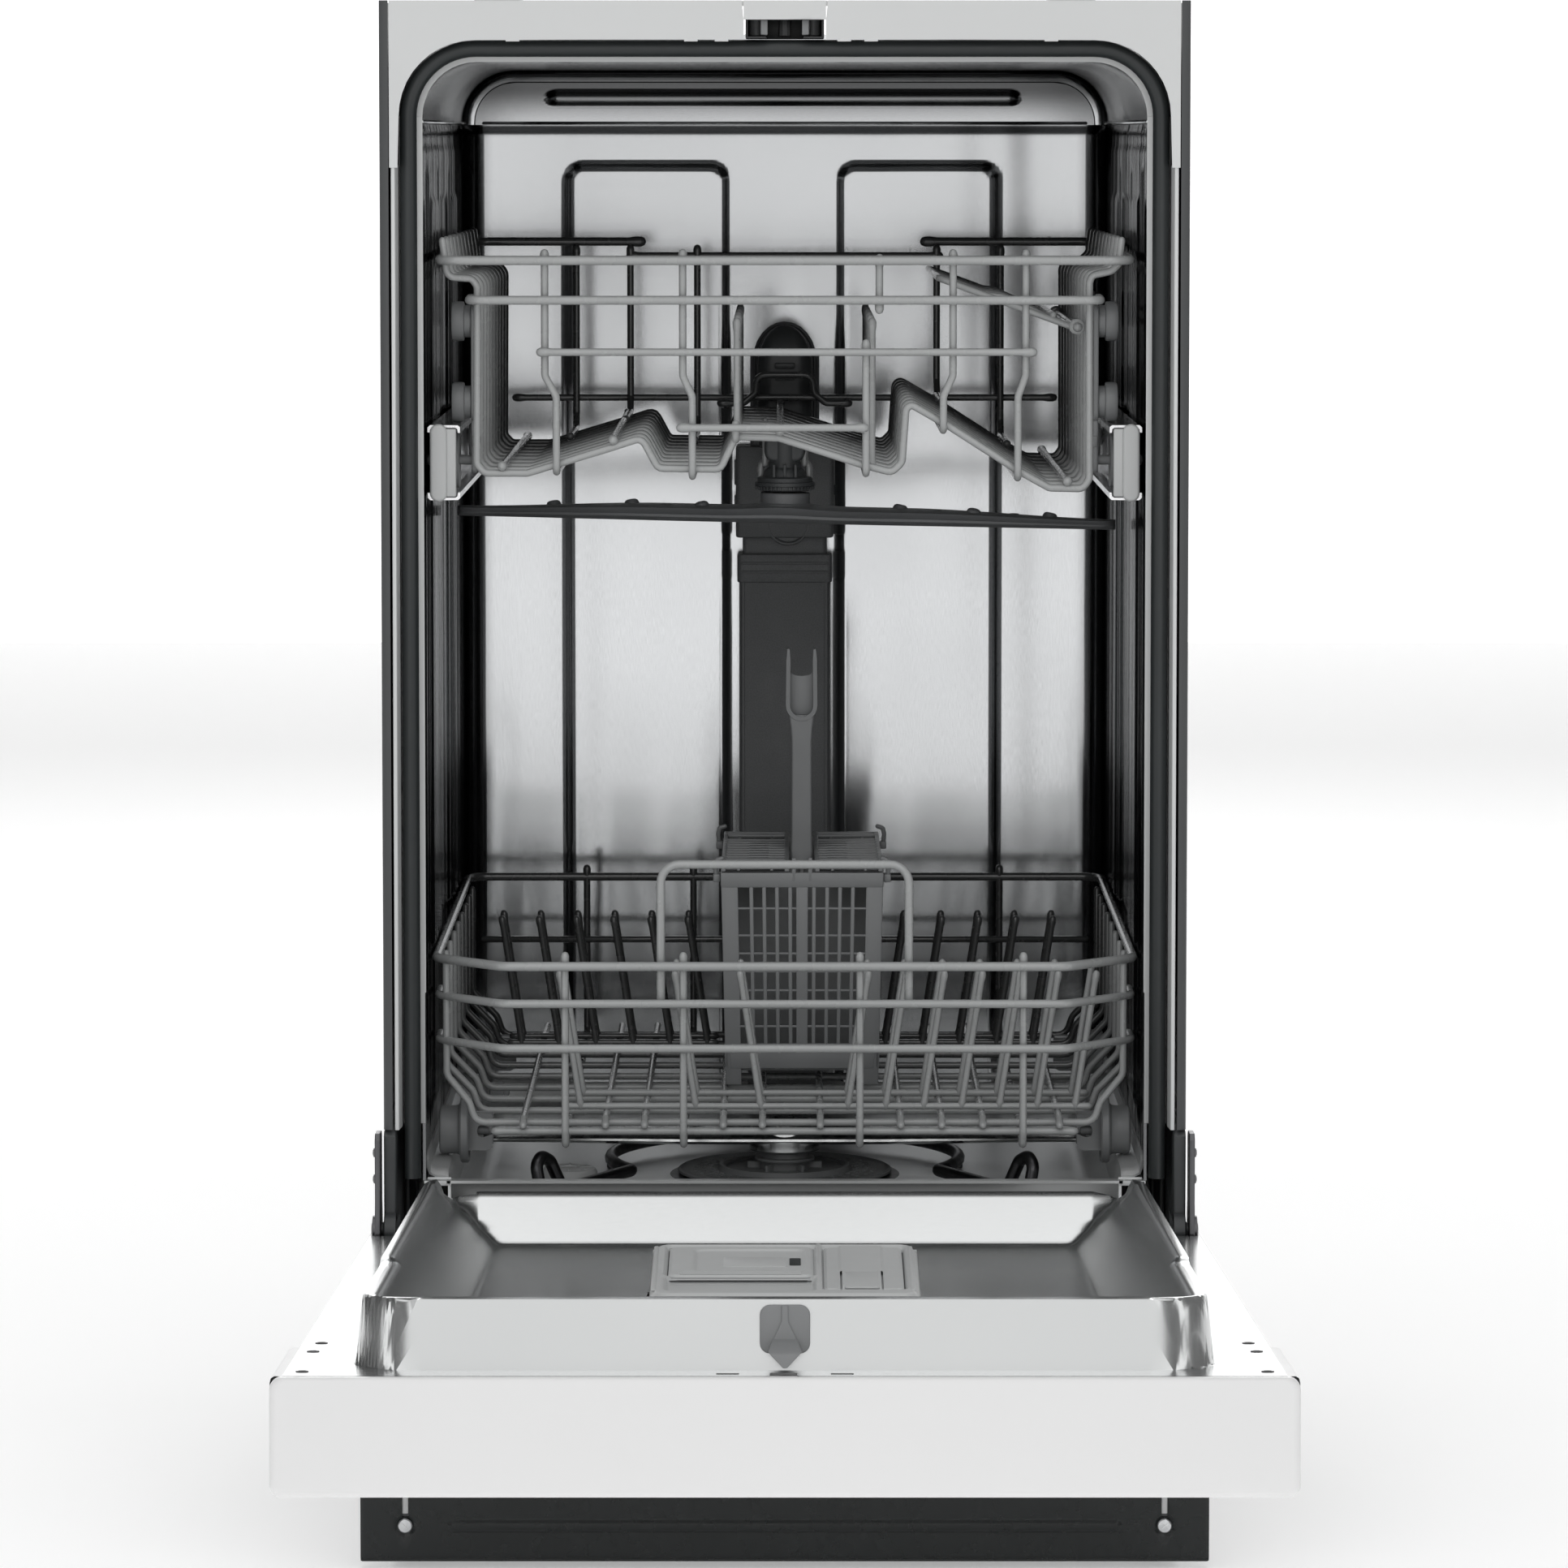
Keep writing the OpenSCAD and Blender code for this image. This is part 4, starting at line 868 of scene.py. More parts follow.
for side, name in zip(SIDES, ("lock_jaw_left", "lock_jaw_right")):
    jaw = Shape()
    lathe(jaw, [(1.6, -4.3), (3.0, -4.3), (3.6, -3.8), (3.6, 4.5), (3.1, 5.0), (1.6, 5.0)],
          (side * 15, 20, 810), UP, 24)
    outline = [(9.1, 4.2), (12.4, 4.0), (12.9, 6.0), (12.7, 14.0), (13.9, 18.6), (13.0, 21.0), (10.8, 21.0),
               (9.6, 16.0), (9.0, 11.0), (9.9, 8.2), (9.0, 6.6)]
    slab(jaw, [(side * a, b) for a, b in outline[::side]], 806.0, 814.0, 0.5)
    piece(jaw, name + "_hook", name, "mid_grey_plastic", (name,))


# ---------------------------------------------------------------- door, built flat and then tilted

TILT = 3.73
PIVOT_Z = 177
ON_DOOR = Matrix.Translation((0, 0, PIVOT_Z)) @ Matrix.Rotation(math.radians(-TILT), 4, "X")
RIDGE = 29
RIDGE_X = 189.5
FAR, NEAR = -36, -612
GUIDE_X = 183.5
BASIN_X = 179.5
FLANGE = -2
FLANGE_X = 218.5
FLANGE_FAR, FLANGE_NEAR = 38, -636
BASIN_FLOOR = -2
RIM = 24
DISH_X = 61


def soft_min(*values, k=0.16):
    """The least of the values, with the joins rounded off."""
    least = values[0]
    for v in values[1:]:
        h = max(k - abs(least - v), 0) / k
        least = min(least, v) - h * h * k / 4
    return least


def ramp(u):
    """0 to 1 along a straight slope with a short round at each end."""
    u, bend = min(1.0, max(0.0, u)), 0.07
    if u < bend:
        return u * u / (2 * bend) / (1 - bend)
    if u > 1 - bend:
        return 1 - (1 - u) ** 2 / (2 * bend) / (1 - bend)
    return (u - bend / 2) / (1 - bend)


def liner_height(x, y):
    """Height of the pressed inner liner over the door's own plane."""
    edge = inside(x, y, -RIDGE_X, RIDGE_X, NEAR, FAR, 30)
    up = ease(edge / 3.6)
    if up <= 0:
        return FLANGE
    far_top, far_run = -39, 28
    near_top, near_run = -599, 17
    u = soft_min((BASIN_X - abs(x)) / 30, (far_top - y) / far_run, (y - near_top) / near_run)
    crest = RIDGE - (RIDGE - RIM) * ease((BASIN_X + 1.2 - abs(x)) / 2.4) * ease((y + 96) / 30)
    top = crest - (crest - BASIN_FLOOR) * ramp(u)
    guide = 2.4 * ease((4.8 - abs(abs(x) - GUIDE_X)) / 2.2) * ease((-42 - y) / 6) * ease((y + 458) / 10)
    ribs = 0.0
    if u >= 1:
        ribs = 1.2 * ease(1 - abs(abs(x) - 118) / 5) * ease((-160 - y) / 10) * ease((y + 570) / 10)
    return FLANGE + (top - FLANGE + guide) * up + ribs


NOTCH_X = 204
door_liner = Shape()
xs = samples(-FLANGE_X, FLANGE_X, 12, (-188, -181, -150, 150, 181, 188), 11, 1.6)
ys = samples(FLANGE_NEAR, FLANGE_FAR, 14, (-607, -599, -585, -455, -140, -70, -45, -38), 10, 1.7)
relief(door_liner, xs, ys, lambda x, y: liner_height(x, y) - 0.6,
       lambda x, y: not (abs(x) > NOTCH_X and abs(y) < 13)
       and not (abs(x) < 8.5 and -634 < y < -623)
       and not (abs(x) < DISH_X and -394 < y < -296))
piece(door_liner.moved(ON_DOOR), "liner_pressing", "door", "stainless", ("door_liner",), 1.2, 50, SATIN)

# Holes in the liner's flange, as dark cups sunk in the sheet: painted shade for the dark insides of the holes
# and slots.
pits = Shape()
for side in SIDES:
    for x, y in ((210, -509), (211.5, -542), (211, -618)):
        lathe(pits, [(0, -0.1), (2.6, -0.1), (2.9, 0.15), (2.9, 0.3), (1.9, 0.32), (1.7, -0.3), (0, -0.4)],
              (side * x, y, FLANGE), UP, 18)
    block(pits, (side * 25 - 5, -627.2, FLANGE - 0.2), (side * 25 + 5, -625.4, FLANGE + 0.25), 0.3)
block(pits, (-8.4, -633.8, FLANGE - 3), (8.4, -623.2, FLANGE - 1.2), 0.5)
piece(pits.moved(ON_DOOR), "liner_hole_shade", "door", "black_plastic")

# Outer panel, wrapped round the edges.
DOOR_X = 220
BOTTOM = FLANGE - 51
TAIL = 40
CONSOLE_END = -524
shell = Shape()
r = 5
profile = [(DOOR_X - 0.6, FLANGE - 1.4)]
for t in quarter(6):
    profile.append((DOOR_X - 0.6 - r + r * math.cos(t), BOTTOM + 0.6 + r - r * math.sin(t)))
line = profile + [((DOOR_X - 0.6 - r) * f, BOTTOM + 0.6) for f in (0.66, 0.33, 0)]
line += [(-x, w) for x, w in reversed(line[:-1])]
rows = [(CONSOLE_END + 0.6, 0), (CONSOLE_END + 60, 0), (-200, 0), (-60, 0), (TAIL - r - 0.6, 0)]
rows += [(TAIL - 0.6 - r + r * math.sin(t), r * (1 - math.cos(t))) for t in quarter(6, 1)]
rings = []
for y, d in rows:
    ring = []
    for x, w in line:
        ring.append(Vector((x - math.copysign(min(d, abs(x)), x), y, max(w, BOTTOM + 0.6 + d))))
    rings.append(ring)
shell.ribbon(rings)
shell.ribbon([[(x, TAIL - 0.6, w) for x in (-DOOR_X + 6, 0, DOOR_X - 6)]
            for w in (BOTTOM + 5.6, -20, FLANGE - 1.6)])
piece(shell.moved(ON_DOOR), "door_skin", "door", "door_white", ("door_outer_panel",), 1.1, 40)

# Console: a rounded moulded end with a pocket handle and three buttons on its outer face.
CONSOLE_X = 224
CONSOLE_NEAR = -640
CONSOLE_BOTTOM = -54.5
POCKET = (-93, 93, -632, -587)
POCKET_DEEP = -29
BUTTONS = (("power_button", -190), ("program_button", -150), ("start_button", 180))
BUTTON_Y = -610
console = Shape()
CORNER_R = 5.5


def console_ring(y, d):
    """The console's cross-section at y, drawn in by d."""
    outline = round_rect(-CONSOLE_X + d, CONSOLE_X - d, CONSOLE_BOTTOM + d, FLANGE - d * 0.4, CORNER_R, 6)
    return [(a, y, b) for a, b in outline]


rings = [console_ring(CONSOLE_NEAR + d_y, d) for d_y, d in
         ((0.0, 3.6), (0.15, 2.4), (0.7, 1.2), (1.6, 0.4), (3.0, 0.0))]
rings.append(console_ring(-634.0, 0.0))
console.loft(rings, caps=False)
console.faces.append(list(range(len(rings[0]))))


def console_face(x, y):
    """Outer face of the console, pressed in at the pocket handle and round each button."""
    depth = ease(inside(x, y, *POCKET, 14) / 7)
    rise = CONSOLE_BOTTOM + (POCKET_DEEP - CONSOLE_BOTTOM) * depth
    for _, at in BUTTONS:
        rise += 0.8 * ease(1 - (math.hypot(x - at, y - BUTTON_Y) - 7.4) / 3)
    return rise


hollow = samples(-CONSOLE_X + CORNER_R, CONSOLE_X - CORNER_R, 16, (-93, 93, -190, -150, 180), 12, 2)
along_y = samples(-634, CONSOLE_END, 10, (-628, -610, -591), 10, 2)
relief(console, hollow, along_y, console_face,
       lambda x, y: all(math.hypot(x - at, y - BUTTON_Y) > 7.6 for _, at in BUTTONS))
for side in SIDES:
    turn = [(CONSOLE_X - CORNER_R + CORNER_R * math.sin(t),
             CONSOLE_BOTTOM + CORNER_R - CORNER_R * math.cos(t))
            for t in quarter(6)]
    turn += [(CONSOLE_X, -30), (CONSOLE_X, -10), (CONSOLE_X, FLANGE - 3), (CONSOLE_X - 0.5, FLANGE - 1),
             (CONSOLE_X - 2, FLANGE - 0.1), (CONSOLE_X - 8, FLANGE - 0.1)]
    console.ribbon([[(side * x, y, w) for x, w in turn] for y in (-634, -580, CONSOLE_END)])
console.ribbon([[(x, y, FLANGE - 1.4) for x in (-CONSOLE_X + 6, 0, CONSOLE_X - 6)]
              for y in (-636, -600)])
piece(console.moved(ON_DOOR), "console_moulding", "door", "console_white", ("door_console",), 0, 40)

for name, at in BUTTONS:
    button = Shape()
    lathe(button, [(8.4, -2.2), (8.4, -0.4), (7.05, -0.2), (7.0, 4.4), (6.6, 5.3), (5.8, 5.8), (3.0, 5.5),
                   (0, 5.4)], (at, BUTTON_Y, CONSOLE_BOTTOM + 4.8), (0, 0, -1), 36)
    piece(button.moved(ON_DOOR), name + "_cap", name, "button_grey", (name,))

board = Shape()
for x0, x1, y0, y1, w in ((-205, -98, -625, -600, -31), (98, 205, -625, -600, -31),
                          (-99, 99, -604, -600, -21)):
    block(board, (x0, y0, w - 0.8), (x1, y1, w + 0.6), 0.3)
for x in (-180, -160, -128, 124, 146, 170, 192):
    block(board, (x - 5, -618, w - 9), (x + 5, -608, w - 9 + 3.5), 0.6)
piece(board.moved(ON_DOOR), "control_circuit", "door", "board_green", ("control_board",))

# Hinge arms: a folded plate on each side, with its pivot washer and rivets.
arms = Shape()
for side in SIDES:
    upright = [(-9, PIVOT_Z - 12), (9, PIVOT_Z - 12), (12, PIVOT_Z - 4), (11, PIVOT_Z + 8), (9, PIVOT_Z + 16),
               (9, 226), (6, 229), (-6, 229), (-9, 226), (-9, PIVOT_Z + 16), (-11.5, PIVOT_Z + 6),
               (-12, PIVOT_Z - 4)]
    plate(arms, side, upright, 213.2, 216.2, 0.5)
    lathe(arms, [(4.3, 0), (7.5, 0), (7.5, 1.4), (6.8, 1.8), (4.3, 1.8)],
          (side * 216.2, 0, PIVOT_Z), (side, 0, 0), 24)
    for z in (204, 218):
        lathe(arms, [(0, 0), (2.6, 0), (2.4, 1.2), (1.2, 1.7), (0, 1.8)], (side * 216.0, 0, z), (side, 0, 0),
              16)
on_arm = Shape()
for side in SIDES:
    plate(on_arm, side, round_rect(-150, 5, -23.8, -10.2, 3), 213.4, 217.6, 0.6)
    for y in (-30, -120):
        lathe(on_arm, [(0, 0), (2.6, 0), (2.4, 0.9), (0, 1.2)], (side * 213.5, y, -17), (-side, 0, 0), 16)
arms.join(on_arm.moved(ON_DOOR))
piece(arms, "hinge_plates", "door", "zinc_steel", ("hinge_arms",), finish=ARM_STEEL)

# ---------------------------------------------------------------- dispenser and latch

TRAY = ON_DOOR @ Matrix.Translation((0, -290, 22)) @ Matrix.Rotation(math.radians(7.25), 4, "X")
HOUSE_X, HOUSE_LONG = 64, 109.5


def tray_height(x, y):
    """Top of the dispenser moulding in its own tilted frame."""
    edge = inside(x, y, -HOUSE_X, HOUSE_X, -HOUSE_LONG, -1.2, 9)
    rise = -3.4 + 3.4 * ease(edge / 3.2)
    rise -= 2.6 * ease(inside(x, y, -58, 15.6, -71, -4.4, 5) / 2.2)
    rise -= 4.2 * ease(inside(x, y, -57.4, 15.2, -101, -69.5, 5) / 1.8)
    return rise - 3.4 * ease(inside(x, y, 16.8, 58.6, -98.5, -4.6, 4) / 1.8)


tray = Shape()
txs = samples(-HOUSE_X, HOUSE_X, 3.2, (-63, -57, 15, 18, 57, 63), 3, 1)
tys = samples(-HOUSE_LONG, -1.2, 3.2, (-107, -100, -71, -61, -5, -2), 3.5, 1)
relief(tray, txs, tys, tray_height)
skirt = round_rect(-HOUSE_X, HOUSE_X, -HOUSE_LONG, -1.2, 9, 6)
tray.loft([[(a, b, -2.9) for a, b in skirt],
           [(a, b, -23.4 - (b + 1.2) * 0.127) for a, b in skirt]], caps=False)
for x in (-62, 60.5):
    block(tray, (x - 1.2, -100, -0.9), (x + 1.2, -9, 0.35), 0.9)
block(tray, (14.7, -102, -1.6), (17.6, -3, 0.1), 0.7)
# Painted shade: dark plates under the lid and the flap, so the gaps round them read dark as in shadow; the
# recess floors are light grey moulding.
gaps = Shape()
slab(gaps, round_rect(17.4, 57.8, -97.8, -5.4, 3), -3.36, -3.16, 0.05)
slab(gaps, round_rect(-57.2, 14.9, -71.8, -5, 3), -2.56, -2.34, 0.05)
piece(gaps.moved(TRAY), "dispenser_gap_shade", "door", "black_plastic")
piece(tray.moved(TRAY), "dispenser_moulding", "door", "light_grey_plastic", ("dispenser_housing",), sharp=45)

lid = Shape()


def lid_height(x, y):
    """Top of the detergent lid in the tray's frame, with its sunk field and label seat."""
    rise = -1.4 + 1.0 * ease(inside(x, y, -55.6, 13.6, -68, -6.6, 4) / 1.6)
    rise -= 0.9 * ease(inside(x, y, -44, 10, -60, -12, 5) / 1.8)
    rise += 0.25 * ease(inside(x, y, -30, 1.5, -47, -27, 2) / 0.6)
    return rise


lxs = samples(-55.6, 13.6, 3, (-54, -43, -29.6, 1, 9, 12.6), 2.4, 0.8)
lys = samples(-68, -6.6, 3, (-67, -59, -46.6, -27.4, -13, -7.5), 2.4, 0.8)
relief(lid, lxs, lys, lid_height)
lid_edge = round_rect(-55.6, 13.6, -68, -6.6, 1.2, 3)
lid.loft(levels(lid_edge, -1.4, -2.9))
for k in range(5):
    block(lid, (-50, -66.6 + k * 1.5, -0.5), (8, -66.0 + k * 1.5, 0.0), 0.2)
piece(lid.moved(TRAY), "detergent_lid_plate", "detergent_lid", "light_grey_plastic", ("detergent_lid",))
label = Shape()
slab(label, round_rect(-29.4, 1.0, -46.6, -27.4, 1.2), -1.22, -0.95, 0.1)
piece(label.moved(TRAY), "lid_blank_label", "detergent_lid", "button_grey")
window = Shape()
slab(window, round_rect(2.2, 7.6, -44, -30, 0.8), -1.3, -0.85, 0.15)
piece(window.moved(TRAY), "lid_indicator", "detergent_lid", "seal_rubber")

flap = Shape()


def flap_height(x, y):
    """Top of the rinse-aid flap in the tray's frame, with a raised strip along its middle."""
    rise = -1.8 + 1.3 * ease(inside(x, y, 18.6, 56.4, -96, -7, 3) / 1.6)
    return rise + 0.9 * ease(inside(x, y, 25.5, 47.5, -99, -5, 2) / 1.6) * ease((y + 95) / 4)


fxs = samples(18.6, 56.4, 2.4, (19.4, 26.5, 46.5, 55.6), 1.8, 0.5)
fys = samples(-96, -7, 3, (-95, -91, -8), 1.8, 0.7)
relief(flap, fxs, fys, flap_height,
       lambda x, y: not (y < -62 and (26.2 < x < 27.4 or 45.6 < x < 46.8)))
flap_edge = round_rect(18.6, 56.4, -96, -7, 1.2, 3)
flap.loft(levels(flap_edge, -1.8, -3.1))
slab(flap, round_rect(28.2, 44.8, -95.8, -64, 1.4), -0.6, 0.5, 0.5)
piece(flap.moved(TRAY), "rinse_flap_plate", "rinse_aid_flap", "light_grey_plastic", ("rinse_aid_flap",))

hook = Shape()
slab(hook, round_rect(-11, 11, 5.4, 26.8, 4.5, 6), -614.0, -612.2, 0.6, on_xz)
# The striker's nose from its top down: height, half width and how far forward it stands.
NOSE = ((26.4, 1.5, -614.9), (19.6, 1.6, -614.9), (11.8, 5.2, -615.1), (8.6, 6.7, -624), (7.4, 7.2, -627.8),
        (5.6, 5.4, -629.4), (1.2, 0.8, -632.8))
rings = []
for w, half, front in NOSE:
    back = -613.4 if w > 5.5 else -613.4 - (5.5 - w) * 4.2
    edge = min(0.4, half / 3)
    rings.append([(-half, back, w), (half, back, w), (half, front + edge, w), (half - edge, front, w),
                  (edge - half, front, w), (-half, front + edge, w)])
hook.loft(rings)
piece(hook.moved(ON_DOOR), "latch_catch", "door", "mid_grey_plastic", ("latch_hook",))


# ---------------------------------------------------------------- lower rack

RIM, WIRE, TINE = 2.5, 2.0, 1.8
LOW_TOP = 313.5
LOW_FRONT, LOW_REAR = 28, 436.8
LOW_X, LOW_FLAT = 187, 150
LOW_SIDE_Y = 66
LOW_UPRIGHT_Y = 32.8
LOW_FLOOR = 225
WHEEL_Z = 218
WHEEL_Y = (84, 394)

rims = Shape()
tube(rims, [(0, LOW_REAR, LOW_TOP + 3), (LOW_X, LOW_REAR, LOW_TOP + 3), (LOW_X, LOW_SIDE_Y, LOW_TOP),
            (LOW_FLAT, LOW_FRONT, LOW_TOP), (-LOW_FLAT, LOW_FRONT, LOW_TOP), (-LOW_X, LOW_SIDE_Y, LOW_TOP),
            (-LOW_X, LOW_REAR, LOW_TOP + 3), (0, LOW_REAR, LOW_TOP + 3)], RIM, 12, 14, True, steps=5)
for drop in (20, 44):
    z = LOW_TOP - drop
    tube(rims, [(LOW_X - 1, 90, z), (LOW_X - 1, LOW_SIDE_Y, z), (LOW_FLAT, LOW_FRONT, z),
                (-LOW_FLAT, LOW_FRONT, z), (1 - LOW_X, LOW_SIDE_Y, z), (1 - LOW_X, 90, z)],
         RIM - 0.25, 12, 14, tip=1.2, steps=5)
tube(rims, [(-66, LOW_UPRIGHT_Y + 0.4, LOW_TOP - 20), (-66, LOW_UPRIGHT_Y + 0.4, LOW_TOP + 54),
            (66, LOW_UPRIGHT_Y + 0.4, LOW_TOP + 54), (66, LOW_UPRIGHT_Y + 0.4, LOW_TOP - 20)],
     RIM - 0.2, 10, 14, steps=6)
piece(rims, "low_rack_rims", "lower_rack", "rack_coating", ("lower_rack_basket",), sharp=60)

wires = Shape()
tube(wires, [(-178, 434, LOW_TOP - 34), (178, 434, LOW_TOP - 34)], WIRE)
side_rise = [(184, LOW_TOP - 2.5), (184, 251), (169.5, 236), (166, LOW_FLOOR)]
for y in (62, 106, 150, 195, 240, 285, 330, 375, 416):
    top_x = min(184.2, LOW_FLAT + (y - LOW_FRONT) * 37 / 38 - 1.5)
    left = [(-min(x, top_x), y, z) for x, z in side_rise]
    right = [(min(x, top_x), y, z) for x, z in side_rise]
    tube(wires, left + right[::-1], WIRE, 7, 10, steps=4)
tube(wires, [(-155, 49, 222.2), (155, 49, 222.2)], WIRE, tip=1.15)
for x in (-117, -54, 40, 127):
    tube(wires, [(x, LOW_UPRIGHT_Y, LOW_TOP + 5), (x, LOW_UPRIGHT_Y, 224), (x, 37, 216.4), (x, 50, 217.4),
                 (x, 66, 220.8), (x, 426, 220.8)], WIRE, 4, 10, tip=1.15, steps=3)
    tube(wires, [(x, 426, 221), (x, 435, 226), (x, 436.4, LOW_TOP + 8)], WIRE, 5, 10, tip=1.15, steps=3)
for x in (-140, -96, -75, -33, -12, 19, 62, 84, 106, 147):
    tube(wires, [(x, 44, 226), (x, 50, 229.2), (x, 426, 229.2)], WIRE - 0.1, 4, 8, tip=1.1)
piece(wires, "low_rack_wires", "lower_rack", "rack_coating", sharp=60)

tines = Shape()


def tine(x, y, side):
    """One upright of a plate row, leaning to its side."""
    foot = (x, y, LOW_FLOOR + 7.4)
    tube(tines, [foot, (x + side * 11, y - 4, LOW_FLOOR + 79.5)], TINE, 0, 10, tip=1.16)


for row in (72, 122):
    for k in range(7):
        tine(34 + 20.4 * k, row, 1)
    for x in (-13, -48, -110):
        tine(x, row, -1)
    tube(tines, [(-118, row, LOW_FLOOR + 7.4), (164, row, LOW_FLOOR + 7.4)], TINE, tip=1.1)
for row in (327, 355):
    for k in range(6):
        tine(-44.6 - 21.4 * k, row, -1)
    for k in range(5):
        tine(58 + 21.3 * k, row, 1)
    for low, high in ((-158, -40), (52, 150)):
        tube(tines, [(low, row, LOW_FLOOR + 7.4), (high, row, LOW_FLOOR + 7.4)], TINE, tip=1.1)
piece(tines, "plate_tines", "lower_rack", "rack_coating", sharp=60)

clips = Shape()
jaw = [(158.5, 226.4), (158.5, 220.6), (163, 222.2), (166, 221.2), (167, WHEEL_Z), (166, 214.9),
       (163, 213.8), (158.5, 215.4), (158.5, 209.6), (161, 208.2), (170.2, 208.2), (170.2, 226.4)]
for side in SIDES:
    for y in WHEEL_Y:
        slab(clips, [(side * a, b) for a, b in jaw[::-side]], y - 7, y + 7, 0.7, on_xz)
        lathe(clips, [(0, 0), (2.9, 0), (2.9, 26), (2.2, 26.6), (0, 26.7)], (side * 160, y, WHEEL_Z),
              (side, 0, 0), 20)
    low, high = sorted((side * 158, side * 166))
    block(clips, (low, 229, 213), (high, 240, 222), 1.2)
    block(clips, (low, 231, 215), (high + (3 if side < 0 else 0), 238, 219), 1)
piece(clips, "axle_clips", "lower_rack", "mid_grey_plastic")

WHEEL = [(3.3, 0.5), (4.6, 0.2), (6.5, 0.2), (7, 1.6), (15.4, 1.6), (15.8, 0.1), (17.2, 0.0), (18, 0.8),
         (18, 3.9), (17.3, 4.7), (14.4, 5.1), (13.5, 5.9), (13.1, 7.2), (13, 10), (13, 14.9), (12.5, 15.7),
         (11.4, 16.0), (10.9, 15.7), (10.6, 13.4), (5.6, 13.4), (5.2, 15.4), (4.8, 15.9), (3.3, 16.0)]
for name, side, rear in CORNERS:
    y = WHEEL_Y[rear]
    wheel = Shape()
    lathe(wheel, WHEEL, (side * 170.5, y, WHEEL_Z), (side, 0, 0), 44)
    spoke = Shape()
    flank(spoke, side, (183.2, 5.0, -0.8), (185.6, 11.2, 0.8), 0.3)
    spin(wheel, spoke, 6, (0, y, WHEEL_Z), "X")
    piece(wheel, "tread_" + name, "wheel_" + name, "mid_grey_plastic", ("wheel_" + name,), sharp=30)

# ---------------------------------------------------------------- cutlery basket

BOX_X0, BOX_X1, BOX_MID = -35.5, 54.5, 9.5
BOX_Y0, BOX_Y1 = 153, 343
BOX_Z0, BOX_Z1 = 232, 350
BAND_Z, SKIRT_Z = 341.5, 255
BARS_X = (-18.6, -11.5, -4.4, 2.9, 16.1, 23.4, 30.5, 37.6)
LEVELS = (330, 315, 305, 295, 284.5, 274.5, 264.5)


def tapered(p):
    """Draws the basket in a little towards its foot."""
    pull = 1 - 0.06 * (BOX_Z1 - p.z) / (BOX_Z1 - BOX_Z0)
    mid_y = (BOX_Y0 + BOX_Y1) / 2
    return Vector((BOX_MID + (p.x - BOX_MID) * pull, mid_y + (p.y - mid_y) * (0.5 + pull / 2), p.z))


basket = Shape()
for y, out in ((BOX_Y0, 1), (BOX_Y1, -1)):
    near, far = sorted((y, y + out * 2.4))
    block(basket, (BOX_X0, near, BAND_Z), (BOX_X1, far, BOX_Z1), 1.0)
    block(basket, (BOX_X0 + 3, near, SKIRT_Z - 14), (BOX_X1 - 3, far, SKIRT_Z), 0.8)
    near, far = sorted((y + out * 0.4, y + out * 2.1))
    for x0, x1 in ((BOX_X0 + 0.3, BOX_X0 + 9.6), (BOX_X1 - 9.6, BOX_X1 - 0.3)):
        block(basket, (x0, near, BOX_Z0), (x1, far, BAND_Z + 1), 0.6)
    for x in BARS_X:
        block(basket, (x - 1.1, near, SKIRT_Z - 1), (x + 1.1, far, BAND_Z + 1), 0.5)
    block(basket, (6.2, near, SKIRT_Z - 1), (12.8, far, BAND_Z + 1), 0.5)
    near, far = sorted((y + out * 0.7, y + out * 1.8))
    for z in LEVELS:
        block(basket, (BOX_X0 + 9, near, z - 0.6), (BOX_X1 - 9, far, z + 0.6), 0.3)
for x, out in ((BOX_X0, 1), (BOX_X1, -1)):
    near, far = sorted((x, x + out * 2.4))
    block(basket, (near, BOX_Y0 + 0.4, BAND_Z), (far, BOX_Y1 - 0.4, BOX_Z1), 1.0)
    block(basket, (near, BOX_Y0 + 0.4, SKIRT_Z - 14), (far, BOX_Y1 - 0.4, SKIRT_Z), 0.8)
    near, far = sorted((x + out * 0.4, x + out * 2.1))
    for k in range(25):
        y = BOX_Y0 + 9.5 + k * 7.12
        wide = 3.4 if k % 6 == 0 else 1.1
        block(basket, (near, y - wide, SKIRT_Z - 1), (far, y + wide, BAND_Z + 1), 0.5)
    near, far = sorted((x + out * 0.7, x + out * 1.8))
    for z in LEVELS:
        block(basket, (near, BOX_Y0 + 4, z - 0.6), (far, BOX_Y1 - 4, z + 0.6), 0.3)
block(basket, (BOX_MID - 1, BOX_Y0 + 1.6, 240), (BOX_MID + 1, BOX_Y1 - 1.6, 346), 0.4)
for k in range(1, 4):
    y = BOX_Y0 + 1 + k * 47
    block(basket, (BOX_X0 + 1.6, y - 0.9, 240), (BOX_X1 - 1.6, y + 0.9, 342), 0.4)
for x in (-28, -18.6, -9, 0.5, 18.5, 28, 37.6, 47):
    block(basket, (x - 1.1, BOX_Y0 + 1.6, 240.5), (x + 1.1, BOX_Y1 - 1.6, 242.5), 0.4)
for k in range(20):
    y = BOX_Y0 + 6 + k * 9.4
    block(basket, (BOX_X0 + 1.6, y - 1, 239.4), (BOX_X1 - 1.6, y + 1, 241.6), 0.4)
basket.points = [tapered(p) for p in basket.points]
for x in (-37.5, 56.5):
    for y in (161, 334):
        tube(basket, [(x, y, 346), (x - (0.8 if x < 0 else -0.8), y, 352.5), (x, y, 356),
                      (x + (3 if x < 0 else -3),
                                                                                      y, 357)], 1.3, 1.5, 8)
        block(basket, (x - 2, y - 2.4, 344), (x + 2, y + 2.4, 348.5), 0.8)
for x in (5.0, 14.0):
    for y in (BOX_Y0 + 1.2, BOX_Y1 - 1.2):
        block(basket, (x - 1.2, y - 1.2, 345), (x + 1.2, y + 1.2, 358), 0.6)
strap = Shape()
GRIP_Y, GRIP_Z = 248, 426
rings = []
